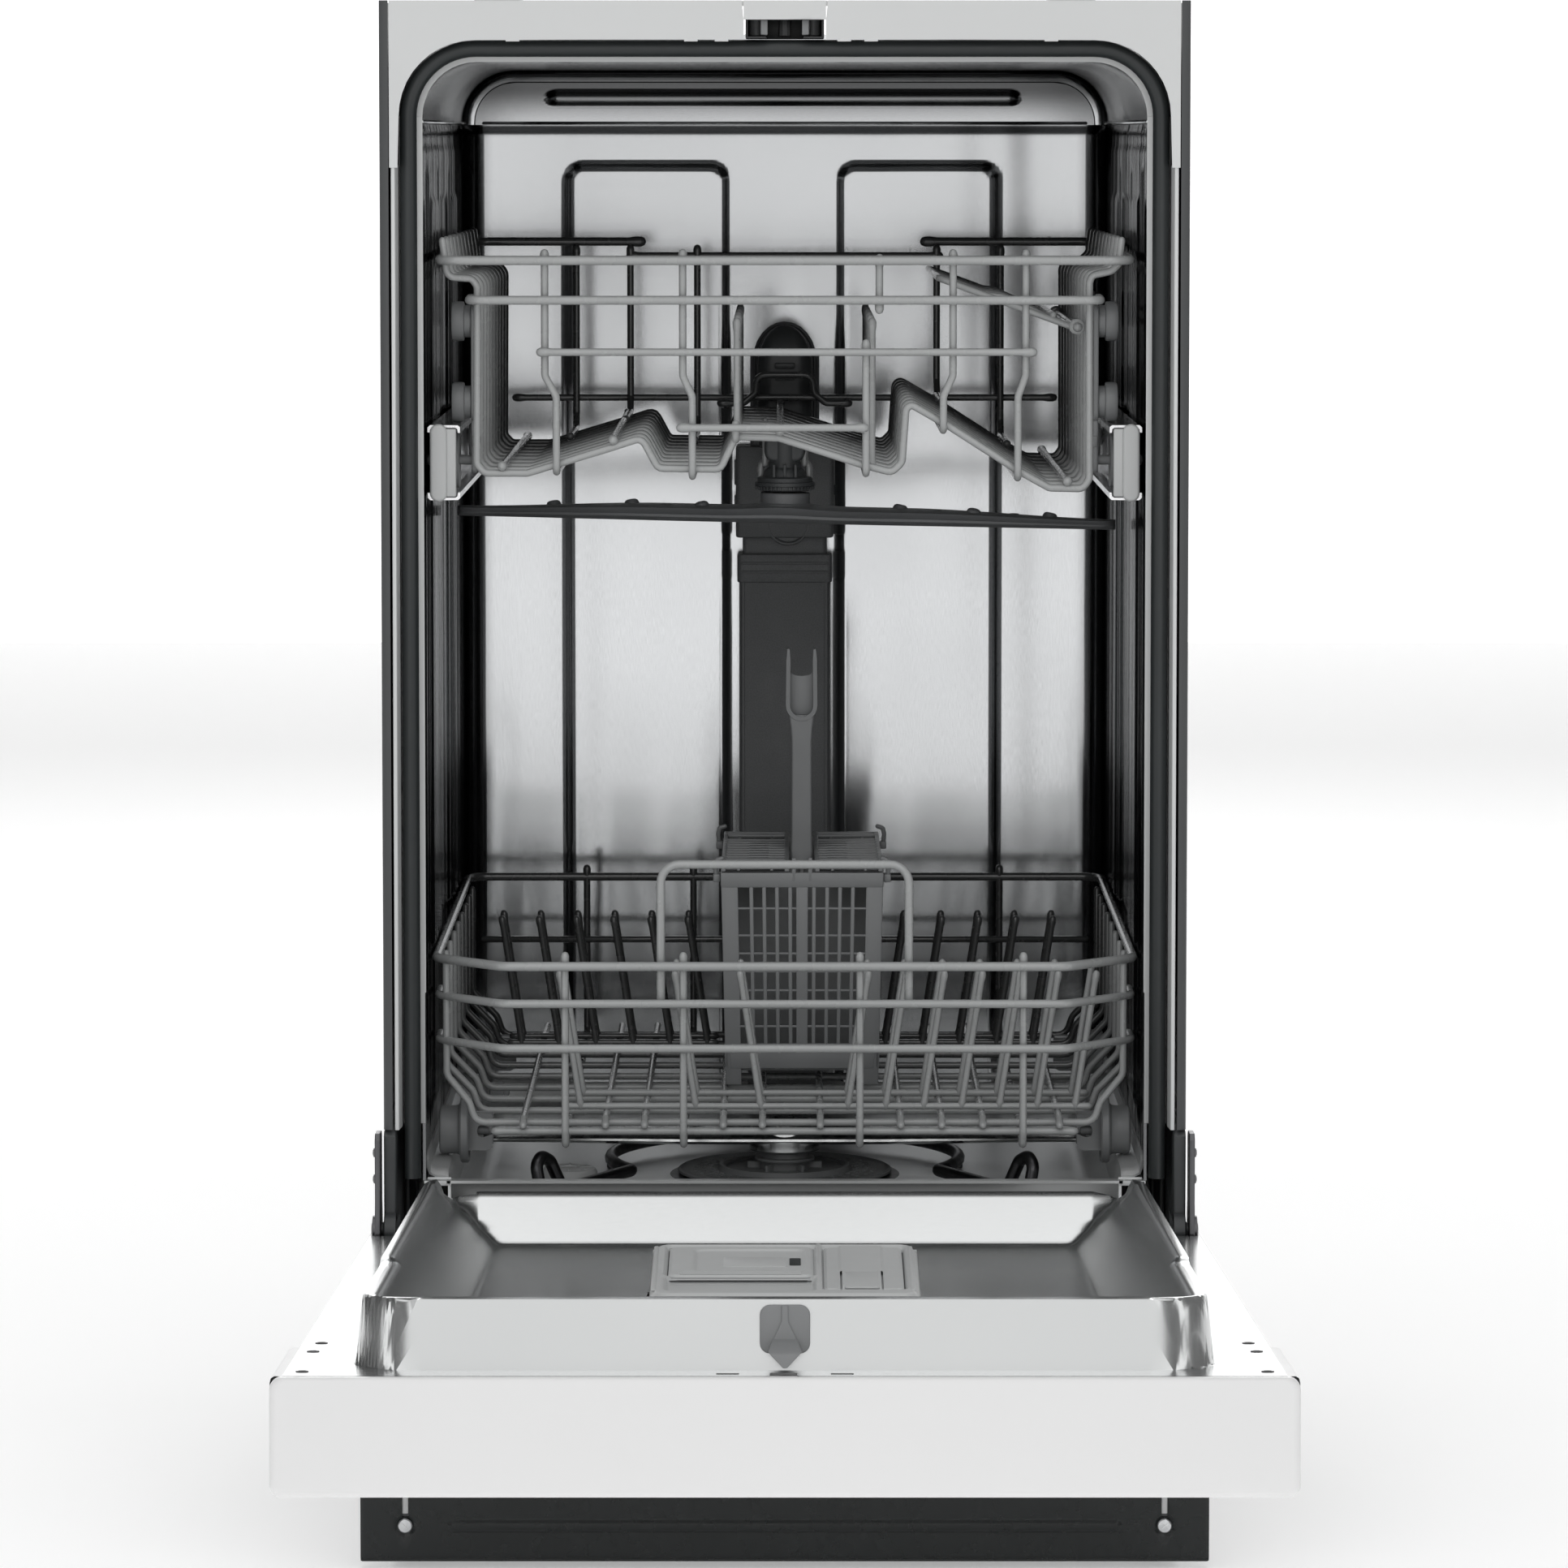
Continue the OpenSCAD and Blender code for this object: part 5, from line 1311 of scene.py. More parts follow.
for z, half, deep in ((346, 6.1, 6.8), (353, 6.1, 5.9), (362, 5.8, 5.6), (414, 5.7, 5.4), (422, 6.2, 5.2),
                      (GRIP_Z + 3, 7.2, 4.8)):
    ring = round_rect(BOX_MID - half, BOX_MID + half, GRIP_Y - deep, GRIP_Y + deep, 1.3, 3)
    rings.append([(a, b, z) for a, b in ring])
strap.loft(rings)
rim = []
for k in range(23):
    t = math.pi * (k - 5) / 12
    if k < 5:
        at = (BOX_MID - 7.7 + 0.35 * (5 - k) * 0.2, GRIP_Z + 8.6 + 7.4 * (5 - k) * 0.86)
    elif k > 17:
        at = (BOX_MID + 7.7 - 0.35 * (k - 17) * 0.2, GRIP_Z + 8.6 + 7.4 * (k - 17) * 0.86)
    else:
        at = (BOX_MID - 7.7 * math.cos(t), GRIP_Z + 8.6 - 7.7 * math.sin(t))
    rim.append(at)
rings = []
for i, (a, b) in enumerate(rim):
    (pa, pb), (na, nb) = rim[max(i - 1, 0)], rim[min(i + 1, len(rim) - 1)]
    size = math.hypot(na - pa, nb - pb)
    ox, oz = -(nb - pb) / size, (na - pa) / size
    half = 1.15 if 0 < i < len(rim) - 1 else 0.6
    section = [(-half, -5.4), (half, -5.4), (half + 0.25, -4.6), (half, 4.6), (half * 0.6, 5.0),
               (-half * 0.6, 5.0), (-half, 4.6), (-half - 0.25, -4.6)]
    rings.append([(a + ox * u, GRIP_Y + v, b + oz * u) for u, v in section])
strap.loft(rings)
pocket = [(BOX_MID - 7, GRIP_Z + 27)] + [(BOX_MID - 7 * math.cos(math.pi * k / 10),
                                          GRIP_Z + 8.4 - 7 * math.sin(math.pi * k / 10)) for k in range(11)]
pocket += [(BOX_MID + 7, GRIP_Z + 27), (BOX_MID + 4, GRIP_Z + 25.2), (BOX_MID, GRIP_Z + 24.6),
           (BOX_MID - 4, GRIP_Z + 25.2)]
slab(strap, pocket, GRIP_Y + 2.4, GRIP_Y + 4.2, 0.3, on_xz)
basket.join(strap)
piece(basket, "cutlery_grid", "cutlery_basket", "mid_grey_plastic", ("cutlery_basket",), sharp=40)

LID_Z = BOX_Z1 + 0.4
for name, x0, x1, solid in (("left", -35, 2.4, -14.5), ("right", 16.6, 54, 29.5)):
    grille = Shape()
    for a, b in ((x0, x0 + 2.6), (x1 - 2.6, x1)):
        block(grille, (a, BOX_Y0 + 0.6, LID_Z), (b, BOX_Y1 - 0.6, LID_Z + 2.8), 0.6)
    for k in range(15):
        y = BOX_Y0 + 4.4 + k * 12.9
        if k not in (1, 12):
            block(grille, (x0 + 0.6, y - 1.7, LID_Z + 0.9), (x1 - 0.6, y + 1.7, LID_Z + 3.0), 0.7)
    for x in (x0 + 9.6, x1 - 9.6):
        block(grille, (x - 0.8, BOX_Y0 + 2, LID_Z), (x + 0.8, BOX_Y1 - 2, LID_Z + 1.6), 0.4)
    block(grille, (solid - 5.8, BOX_Y0 + 52, LID_Z + 0.4), (solid + 5.8, BOX_Y1 - 52, LID_Z + 2.3), 0.5)
    under = Shape()
    slab(under, [(x0 + 1, BOX_Y0 + 1), (x1 - 1, BOX_Y0 + 1), (x1 - 1, BOX_Y1 - 1), (x0 + 1, BOX_Y1 - 1)],
         LID_Z, LID_Z + 0.5, 0.1)
    piece(under, "lid_shade_" + name, "cutlery_lid_" + name, "black_plastic")
    piece(grille, "lid_grille_" + name, "cutlery_lid_" + name, "mid_grey_plastic", ("cutlery_lid_" + name,))

# ---------------------------------------------------------------- spray arms, sump, filter, heater


def blade(reach, width, thick, crown, nozzles, holes):
    """A hollow spray blade lying along x, its seam halfway up, with raised nozzles."""
    arm = Shape()
    rings = []

    def crest(x):
        """Height of the blade's top at x, without its crown."""
        return thick * (0.62 + 0.38 * ease((1 - abs(x) / reach) * 1.6))

    for x in samples(-reach, reach, 9, (-reach, reach, 0), 12, 2.2):
        t = abs(x) / reach
        tip = math.sqrt(max(0.02, 1 - max(0, t - 0.955) ** 2 / 0.00205))
        half = (8 + (width / 2 - 8) * ease((1 - t) * 1.35)) * tip
        top = crest(x) + crown * ease(1 - abs(x) / 34)
        section = []
        for a, b in ((-1, 0.34), (-0.985, 0.5), (-0.93, 0.56), (-0.82, 0.86), (-0.6, 0.98), (-0.25, 1.0),
                     (0.25, 1.0), (0.6, 0.98), (0.82, 0.86), (0.93, 0.56), (0.985, 0.5), (1, 0.34),
                     (0.93, 0.26), (0.75, 0.06), (0.3, 0.0), (-0.3, 0.0), (-0.75, 0.06), (-0.93, 0.26)):
            section.append(Vector((x, a * half, b * top)))
        rings.append(section)
    arm.loft(rings)
    for x, y in nozzles:
        tilt = 0.5 if y > 0 else -0.5
        lathe(arm, [(0, 0), (4.4, 0), (4.2, 1.6), (3.5, 2.9), (2.6, 3.4), (1.3, 3.4), (1.1, 2.6), (0, 2.6)],
              (x, y, crest(x) - 1.4), (0.2 * math.copysign(1, x), tilt * 0.3, 1), 18)
    for x, y in holes:
        lathe(arm, [(0.8, -0.5), (2.6, -0.1), (2.9, 0.35), (2.2, 0.5), (1.1, 0.2), (0.9, -0.4)],
              (x, y, crest(x) - 0.2), UP, 16)
    return arm


LOW_HOLES = ((40, 9), (75, -6), (110, 5), (142, -3), (160, 2))
low_arm = blade(170, 44, 8, 0, [], [(s * x, y) for s in SIDES for x, y in LOW_HOLES])
lathe(low_arm, [(0, -4.4), (19.6, -4.4), (20, -3.8), (20, 6), (19.4, 8.4), (17.5, 9.6), (15.8, 10),
                (14.8, 12.2),
                (12, 13.2), (7, 13.4), (6.4, 12.4), (3, 12.2), (0, 12.4)], (0, 0, 0), UP, 48)
piece(low_arm.moved(Matrix.Translation((0, ARM_Y, 189))), "low_arm_blade", "lower_spray_arm", "stainless",
      ("lower_spray_arm",), sharp=28)

bumps = [(-131, 5), (-87, 6), (-46, -6), (64, 6), (106, -5), (148, 4)]
up_arm = blade(185, 46, 9, 1.6, bumps, [(-110, -5), (-66, -7), (86, -6), (128, 5)])
lathe(up_arm, [(0, 8.4), (16.5, 8.4), (15.8, 10.2), (14, 11.2), (14, 16.4), (13.2, 17), (0, 17)],
      (0, 0, 0), UP, 44)
HANG = (Matrix.Translation((0, ARM_Y, 538)) @ Matrix.Rotation(math.radians(-6), 4, "Z")
        @ Matrix.Rotation(math.radians(0.9), 4, "Y"))
piece(up_arm.moved(HANG), "up_arm_blade", "upper_spray_arm", "dark_grey_plastic", ("upper_spray_arm",),
      sharp=28,
      finish=ARM_GREY)

well = Shape()
lathe(well, [(48.2, 166.8), (66, 166.8), (66, 170.3), (64, 170.6), (52, 170.6), (50, 169.6), (48.2, 166)],
      ON_AXIS, UP, 64)
lathe(well, [(48.3, 168), (52, 168), (52, 128), (50.5, 122), (46, 116), (40, 111.5), (30, 110.2),
             (0.1, 110.2),
             (0.1, 116.2), (40, 116.4), (47, 120), (48.3, 128)], ON_AXIS, UP, 64)
spin(well, brick((51.2, -0.9, 128), (54.6, 0.9, 165), 0.5), 12, ON_AXIS)
piece(well, "sump_well", "cabinet", "dark_grey_plastic", ("sump",))

sieve = Shape()
lathe(sieve, [(34.4, 172.5), (60, 172.4), (60, 173.6), (58.6, 174.4), (56, 173.6), (38, 173.4), (36.4, 176.2),
              (34.6, 176.2), (34.2, 174)], ON_AXIS, UP, 72)
for k in range(36):
    t = math.tau * k / 36
    for r in (40.5, 45.5, 50.5):
        lathe(sieve, [(0.5, 0), (1.5, 0), (1.5, 0.45), (0.8, 0.5), (0.5, 0.1)],
              (r * math.cos(t + r), ARM_Y + r * math.sin(t + r), 173.35), UP, 8)
lathe(sieve, [(33, 129), (36, 128), (36, 175.4), (35, 176), (33.2, 175.4), (33, 132), (0.1, 131), (0.1, 126),
              (33, 126)], ON_AXIS, UP, 48)
for z in (138, 146, 154, 162, 169):
    lathe(sieve, [(36, z - 0.7), (36.7, z - 0.4), (36.7, z + 0.4), (36, z + 0.7)], ON_AXIS, UP, 40)
lathe(sieve, [(0.1, 122), (13.2, 122), (14, 123), (14, 170), (14, 178), (16.6, 178.6), (16.9, 179.4),
              (16.6, 180.2), (13.8, 180.6), (13.4, 183), (12.4, 183.9), (9.6, 184), (9.2, 182.4),
              (0.1, 182.2)],
      ON_AXIS, UP, 48)
spin(sieve, brick((13.4, -0.9, 160), (21, 0.9, 177.5), 0.4), 6, ON_AXIS)
piece(sieve, "filter_unit", "filter", "mid_grey_plastic", ("filter",))

bob = Shape()
lathe(bob, [(0.1, 140), (5, 140), (6, 141), (6, 174), (14.4, 172.8), (15.6, 173.2), (16, 174.4),
            (15.8, 178.6),
            (14.6, 180.4), (12, 181.2), (5.6, 181.3), (5.2, 180.6), (0.1, 180.6)],
      (FLOAT_X, FLOAT_Y, 0), UP, 44)
spin(bob, brick((6.2, -0.6, 180.8), (13.4, 0.6, 181.6), 0.25), 8, (FLOAT_X, FLOAT_Y, 0))
piece(bob, "float_cap", "float", "light_grey_plastic", ("float",))

LOOP_R, LOOP_Z = 98, 180
TERMINAL_X, TERMINAL_Y = 132, 98
element = Shape()
ring = []
for k in range(41):
    t = math.radians(-30 + 240 * k / 40)
    ring.append((LOOP_R * math.cos(t), ARM_Y + LOOP_R * math.sin(t), LOOP_Z))
head = [(131, 96, 173), (135, 97, 196), (132.5, 103, 200.6), (128, 110, 197), (122, 116, 182),
        (112, 134, 180)]
path = head + ring + [(-x, y, z) for x, y, z in head[::-1]]
tube(element, path, 3.5, 5, 12, True, steps=3)
for side in SIDES:
    lathe(element, [(3.6, 172.3), (10, 172.3), (10, 175), (9.2, 175.6), (8.4, 175.8), (8.2, 184),
                    (7.4, 185.4),
                    (3.7, 185.6)], (side * TERMINAL_X, TERMINAL_Y, 0), UP, 6)
    lathe(element, [(3.6, 172.2), (10.6, 172.2), (10.6, 173.8), (10, 174.4), (3.7, 174.6)],
          (side * TERMINAL_X, TERMINAL_Y, 0),
          UP, 32)
for k in (6, 20, 34):
    x, y, z = ring[k]
    block(element, (x - 3, y - 3, 172.2), (x + 3, y + 3, 177.4), 0.8)
piece(element, "heating_loop", "cabinet", "heater_tube", ("heater",), sharp=40)


# ---------------------------------------------------------------- upper rack

UP_TOP = 688
UP_X, UP_FRONT, UP_REAR = 183, 34, 412.8
UP_UPRIGHT_Y = 38.8
# The wavy floor wire from left to right, as (x, z).
WAVE = ((-181.2, 698.2), (-179, 681.5), (-176.4, 678.9), (-165.6, 678.3), (-162.8, 674), (-163.4, 579.9),
        (-159.1, 575.1), (-136.6, 575.1), (-93.6, 588.1), (-75.9, 593.8), (-67.2, 577.7), (-34.2, 577.3),
        (-26, 594.6), (-3, 593.8), (41.6, 579.5), (56.8, 575.6), (62.2, 581), (64.2, 609.4), (67.2, 611.5),
        (86.7, 600.3), (124, 576.4), (140.5, 567.3), (158.2, 566.9), (161.6, 572.1), (161.3, 676),
        (162.6, 680), (173, 682.2), (176.9, 686), (178.2, 698.4))
FLOOR_FROM, FLOOR_TO = 6, 22


def wave_z(x):
    """Height of the wavy floor at x."""
    floor = WAVE[FLOOR_FROM:FLOOR_TO + 1]
    for (x0, z0), (x1, z1) in zip(floor, floor[1:]):
        if x0 <= x <= x1:
            return z0 + (z1 - z0) * (x - x0) / (x1 - x0)
    return floor[0][1]


rims = Shape()
rim_path = [(-84, UP_REAR, UP_TOP + 4), (-UP_X, UP_REAR, UP_TOP + 4), (-UP_X, UP_FRONT, UP_TOP),
            (UP_X, UP_FRONT, UP_TOP), (UP_X, UP_REAR, UP_TOP + 4), (82, UP_REAR, UP_TOP + 4)]
tube(rims, rim_path, RIM, 11, 14, tip=1.25, steps=5)
tube(rims, [(-167, 58, 667), (-167, UP_FRONT, 667), (167, UP_FRONT, 667), (167, 58, 667)], RIM - 0.1, 7, 14,
     tip=1.2, steps=5)
piece(rims, "up_rack_rims", "upper_rack", "rack_coating", ("upper_rack_basket",), sharp=60)

wires = Shape()
for left, right, y, z in ((-129, 131, UP_FRONT, 639.6), (-55, 42, UP_FRONT, 599.6), (-90, 90, 410.5, 684),
                          (-157, 157, UP_REAR, 601)):
    tube(wires, [(left, y, z), (right, y, z)], WIRE, tip=1.25)
for k in range(10):
    y = 44 + 40 * k
    tube(wires, [(x, y, z) for x, z in WAVE], WIRE, 4.5, 10, steps=3)
for x, inward in ((-127, 6), (-54, 5), (89, -5), (127.5, -4)):
    foot = x + inward
    low = wave_z(foot) - 4
    tube(wires, [(x, UP_UPRIGHT_Y, UP_TOP + 3.5), (x, UP_UPRIGHT_Y, 627), (foot, UP_UPRIGHT_Y, 616),
                 (foot, UP_UPRIGHT_Y, low), (foot, 398, low)], WIRE, 5, 10, tip=1.2, steps=3)
for x, low, high in ((43, 578, 644), (-26, 596, 601)):
    tube(wires, [(x, UP_UPRIGHT_Y, high), (x, UP_UPRIGHT_Y, low - 3), (x, 398, low - 3)], WIRE, 4, 10,
         tip=1.2)
tube(wires, [(50, UP_UPRIGHT_Y, 662), (50, UP_UPRIGHT_Y, UP_TOP + 1)], WIRE, tip=1.2)
for x in (-121.6, -90, -51, 88.7, 126):
    low = wave_z(x) + 4
    tube(wires, [(x, 410, UP_TOP), (x, 410, low + 8), (x, 402, low), (x, 290, low)], WIRE, 5, 10, tip=1.2)
for x in (-150, -91, -2.6, 150):
    low = wave_z(x) + 3.9
    tube(wires, [(x, 42, low), (x, 404, low)], WIRE, tip=1.35)
tube(wires, [(-37, 404, 598), (-24, 404, 598), (-17, 404, 604), (-16, 400, 614.6), (16, 400, 614.6),
             (17, 404, 604), (24, 404, 598), (37, 404, 598)], WIRE, 5, 10, tip=1.3, steps=3)
tube(wires, [(-13.5, ARM_Y, 560), (-13.5, ARM_Y, 572.7), (13.5, ARM_Y, 572.7), (13.5, ARM_Y, 560)],
     WIRE, 4, 10, steps=4)
for x in (-11, 11):
    tube(wires, [(x, ARM_Y - 3, 571), (x, ARM_Y - 3, wave_z(x) + 1)], WIRE - 0.2)
for k in range(6):
    y = 58 + 60 * k
    for x, low in ((-25.5, 595), (46.5, 578)):
        tube(wires, [(x, y, low), (x, y, 655)], TINE, 0, 10, tip=1.25)
SHELF_X, SHELF_Z = 156, 652
tube(wires, [(SHELF_X, 62, SHELF_Z), (SHELF_X, 352, SHELF_Z)], 1.9, tip=1.4)
for y in (84, 204, 324):
    tube(wires, [(SHELF_X, y, SHELF_Z), (161.5, y, SHELF_Z)], 1.6)
piece(wires, "up_rack_wires", "upper_rack", "rack_coating", sharp=60)

shelf = Shape()
for y in (73, 347):
    lathe(shelf, [(2.2, -3), (3.9, -3), (4.2, -2.6), (4.2, 2.6), (3.9, 3), (2.2, 3)], (0, y, 0), REARWARD, 20)
tube(shelf, [(-3, 73, -1), (-78, 73, -1), (-78, 347, -1), (-3, 347, -1)], 1.8, 10, 12, steps=5)
tube(shelf, [(-14, 73, 1.6), (-14, 347, 1.6)], 1.6, tip=1.2)
for k in range(5):
    y = 118 + 46 * k
    tube(shelf, [(-77, y, -1), (-50, y, -1), (-40, y, 1.2), (-13, y, -1)], 1.5, 6, 10)
TILTED = Matrix.Translation((SHELF_X, 0, SHELF_Z)) @ Matrix.Rotation(math.radians(20), 4, "Y")
piece(shelf.moved(TILTED), "cup_shelf_wires", "cup_shelf", "rack_coating", ("cup_shelf",), sharp=60)

# Roller carriers on the rack's sides, and the channels they run in.
ROLLER_Z = 581
carriers = Shape()
for side in SIDES:
    for y in (70, 330):
        low, high = sorted((side * 164.4, side * 167.2))
        slab(carriers, round_rect(y - 9, y + 9, 602, 664, 5), low, high, 0.8, on_yz)
        slab(carriers, round_rect(y - 6, y + 6, 574, 604, 4), low, high, 0.8, on_yz)
        for z in (612, 655):
            lathe(carriers, [(0.1, 2.6), (8, 2.6), (8.6, 3.4), (8.6, 6.2), (10.3, 6.6), (10.5, 7.4),
                             (10.5, 11.8),
                             (9.8, 12.9), (8.2, 13), (7.8, 11.6), (4.4, 11.4), (4, 12.7), (2.2, 13),
                             (0.1, 12.8)],
                  (side * 164.5, y, z), (side, 0, 0), 32)
            spoke = Shape()
            flank(spoke, side, (175, 4.2, -0.7), (177, 8.2, 0.7), 0.3)
            spin(carriers, spoke, 5, (0, y, z), "X")
        lathe(carriers, [(0.1, 2.7), (2.6, 2.7), (2.6, 9.2), (14.4, 9.2), (15, 9.8), (15, 15.4), (14.2, 16),
                         (12, 16), (11.6, 14.8), (5, 14.8), (4.6, 15.8), (0.1, 15.8)],
              (side * 164.4, y, ROLLER_Z), (side, 0, 0), 36)
        for z in (634, 591):
            flank(carriers, side, (162.6, y - 7, z - 3), (167, y + 7, z + 3), 1)
piece(carriers, "roller_carriers", "upper_rack", "mid_grey_plastic", ("upper_rack_rollers",))

RAIL_Z0, RAIL_Z1 = 561, 601
rails = Shape()
channel = [(172, 565.2), (172, 562.2), (173.2, 561.2), (181, 561.1), (187.8, 561.1), (189.2, 562.4),
           (189.2, 565),
           (188.1, 565), (187.8, 563.2), (186.6, 562.4), (183.4, 562.4), (182.6, 563.6), (182.6, 598.4),
           (183.4, 599.6), (186.6, 599.6), (187.8, 598.8), (188.1, 597), (189.2, 597), (189.2, 599.6),
           (187.8, 600.9), (173.2, 600.8), (172, 599.8), (172, 596.8), (173.1, 596.8), (173.4, 598.8),
           (174.6, 599.6), (180.4, 599.6), (181.4, 598.4), (181.4, 563.6), (180.4, 562.4), (174.6, 562.4),
           (173.4, 563.2), (173.1, 565.2)]
for side in SIDES:
    outline = [(side * a, b) for a, b in channel[::-side]]
    rails.loft([[(a, y, b) for a, b in outline] for y in (37.5, 100, 200, 300, 449.5)])
    for y in (120, 240, 360):
        plate(rails, side, round_rect(y - 14, y + 14, 576, 586, 4.8), 181.2, 180.4, 0.35)
piece(rails, "rail_channels", "upper_rack", "chrome_rail", ("upper_rails",), sharp=25)

caps = Shape()
for side in SIDES:
    outline = round_rect(side * 183.3 - 4.5, side * 183.3 + 4.5, RAIL_Z0 - 0.5, RAIL_Z1 + 0.5, 4.4, 8)
    slab(caps, outline, 32.4, 38, 1.6, on_xz, 5)
    flank(caps, side, (174, 34.5, 563), (181, 39, 599), 1)
piece(caps, "rail_end_caps", "upper_rack", "light_grey_plastic")

hubs = Shape()
for side in SIDES:
    for y in (70, 150):
        lathe(hubs, [(0.1, 0), (4, 0), (4.4, 0.5), (4.4, 1.1), (12.4, 1.1), (13, 0.2), (14, 0.3), (14, 3.2),
                     (13.4, 3.6), (3, 3.6), (2.9, 8), (0.1, 8.1)],
              (side * 184.1, y, ROLLER_Z), (side, 0, 0), 40)
piece(hubs, "wall_rollers", "cabinet", "mid_grey_plastic", ("rail_rollers",))

# ---------------------------------------------------------------- feed pipe of the upper arm

feed = Shape()
lathe(feed, [(0.1, 556), (14.6, 556), (15.4, 556.6), (15.4, 558.4), (16.9, 558.8), (16.9, 560.6), (15.6, 561),
             (15.6, 563), (14.4, 563.8), (12.2, 563.9), (11.4, 567), (9.4, 569), (9, 572), (9, 586),
             (0.1, 586)],
      ON_AXIS, UP, 48)
spin(feed, brick((15, -0.5, 556.6), (16.6, 0.5, 558.6), 0.2), 40, ON_AXIS)
for x in (-6, 0, 6):
    block(feed, (x - 0.8, ARM_Y - 12.6, 563), (x + 0.8, ARM_Y - 8.6, 571), 0.4)
pipe = round_rect(-11.4, 11.4, 572, 588, 6, 5)
slab(feed, pipe, ARM_Y - 8, 432, 2.2, on_xz)
for y in (262, 300, 338, 376, 414):
    slab(feed, round_rect(-12.4, 12.4, 571, 589, 6.6, 5), y - 1.2, y + 1.2, 0.5, on_xz)
block(feed, (-6, 226, 586), (6, 244, 592), 1.5)
head_y = 434
rings = []
for z, half, deep in ((571, 14.4, 12), (572.4, 15.6, 13.2), (580, 16, 14), (600, 16, 14), (618, 16, 14)):
    rings.append([(a, b, z) for a, b in round_rect(-half, half, head_y - deep, head_y + deep, 9, 6)])
for k in range(1, 7):
    t = math.pi / 2 * k / 6.3
    half, deep = 16 * math.cos(t), 14 * math.cos(t)
    z = 618 + 25 * math.sin(t)
    rings.append([(a, b, z) for a, b in round_rect(-half, half, head_y - deep, head_y + deep,
                                                           0.56 * half, 6)])
feed.loft(rings)
for r, y in ((17.6, 441), (15.8, 436), (13.6, 428)):
    arch = [(-r, y, 586), (-r, y, 622)]
    arch += [(-r * math.cos(math.pi * k / 12),
              y, 622 + r * 1.22 * math.sin(math.pi * k / 12)) for k in range(1, 12)]
    arch += [(r, y, 622), (r, y, 586)]
    tube(feed, arch, 1.2, 0, 8)
for z in (611, 617.8):
    block(feed, (-5.8, 416.6, z), (5.8, 421, z + 3.2), 0.8)
lathe(feed, [(0.1, 0), (9.4, 0), (9.4, 6), (8.6, 6.6), (8.6, 12), (9.4, 12.6), (9.4, 18), (8.6, 18.6),
             (8.6, 24),
             (9.4, 24.6), (9.4, 27), (0.1, 27.2)], (0, 440, 580), REARWARD, 36)
piece(feed, "feed_pipe", "upper_rack", "dark_grey_plastic", ("upper_feed_pipe",), sharp=32)

# ---------------------------------------------------------------- rear water column

COL_Y, COL_BACK = 464.2, 487.6
column = Shape()


def stretch(x, z0, z1, y=COL_Y, r=3.0, edge=1.2):
    """One stretch of the column's moulding."""
    rings = []
    for z, d in ((z0, edge), (z0 + edge * 0.35, edge * 0.3), (z0 + edge, 0), (z1 - edge, 0),
                 (z1 - edge * 0.35, edge * 0.3), (z1, edge)):
        rings.append([(a, b, z) for a, b in round_rect(-x + d, x - d, y + d, COL_BACK, r, 4)])
    column.loft(rings)


stretch(22, 176.6, 212, edge=1)
stretch(27, 209, 497)
stretch(28.2, 489, 506, COL_Y - 1, edge=1)
stretch(25, 505, 516.6, COL_Y + 3, edge=0.6)
stretch(29, 515.8, 570, COL_Y - 2)
stretch(20.5, 568, 625, COL_Y + 4, edge=2)
for z in (495.4, 500.6):
    block(column, (-26, COL_Y - 2.0, z - 0.7), (26, COL_Y, z + 0.7), 0.5)
lathe(column, [(0.1, 1.6), (4, 2.4), (8.4, 3.4), (10, 4.4), (10.4, 3), (10.6, 0.4), (11.4, -0.6),
               (12.4, -0.4),
               (12.8, 0.5), (12.8, 1.5), (0.1, 1.5)], (2, COL_Y - 1.6, 524), REARWARD, 44)
for side in SIDES:
    for z0, z1 in ((527, 541), (547, 562)):
        flank(column, side, (28.6, COL_Y + 2, z0), (29.9, COL_Y + 8, z1), 0.6)
    flank(column, side, (23.6, COL_Y - 0.7, 214), (25.6, COL_Y + 1, 490), 0.6)
piece(column, "column_moulding", "cabinet", "column_grey", ("rear_water_column",), sharp=35)


# ---------------------------------------------------------------- base, feet and toe kick

base = Shape()
for x0, x1, y0, y1 in ((-205, 132, 72, 196), (178, 205, 72, 196), (-205, 205, 196, 510)):
    block(base, (x0, y0, 60), (x1, y1, 63), 0.8)
for y in (110, 230, 290, 350, 410, 470):
    block(base, (-160, y - 3, 62.4), (112 if y < 200 else 160, y + 3, 65), 1.2)
for side in SIDES:
    flank(base, side, (202.1, 72, 62), (204.9, 510, 226), 1)
    for y in (130, 220, 310, 400, 490):
        flank(base, side, (200.6, y - 2, 64), (203, y + 2, 222), 0.8)
for x0, x1, z0, z1 in ((-205, -142, 62, 160), (-98, -91, 62, 160), (-53, 205, 62, 160), (-142, -98, 62, 78),
                       (-142, -98, 122, 160), (-91, -53, 62, 86), (-91, -53, 124, 160)):
    block(base, (x0, 507.1, z0), (x1, 509.9, z1), 0.5)
for x, z, r in ((-120, 100, 22), (-72, 105, 19)):
    lathe(base, [(r, 0), (r + 1.6, 0), (r + 1.6, 3), (r, 3)], (x, 506.6, z), REARWARD, 40)
piece(base, "pan_moulding", "cabinet", "black_plastic", ("base_pan",))

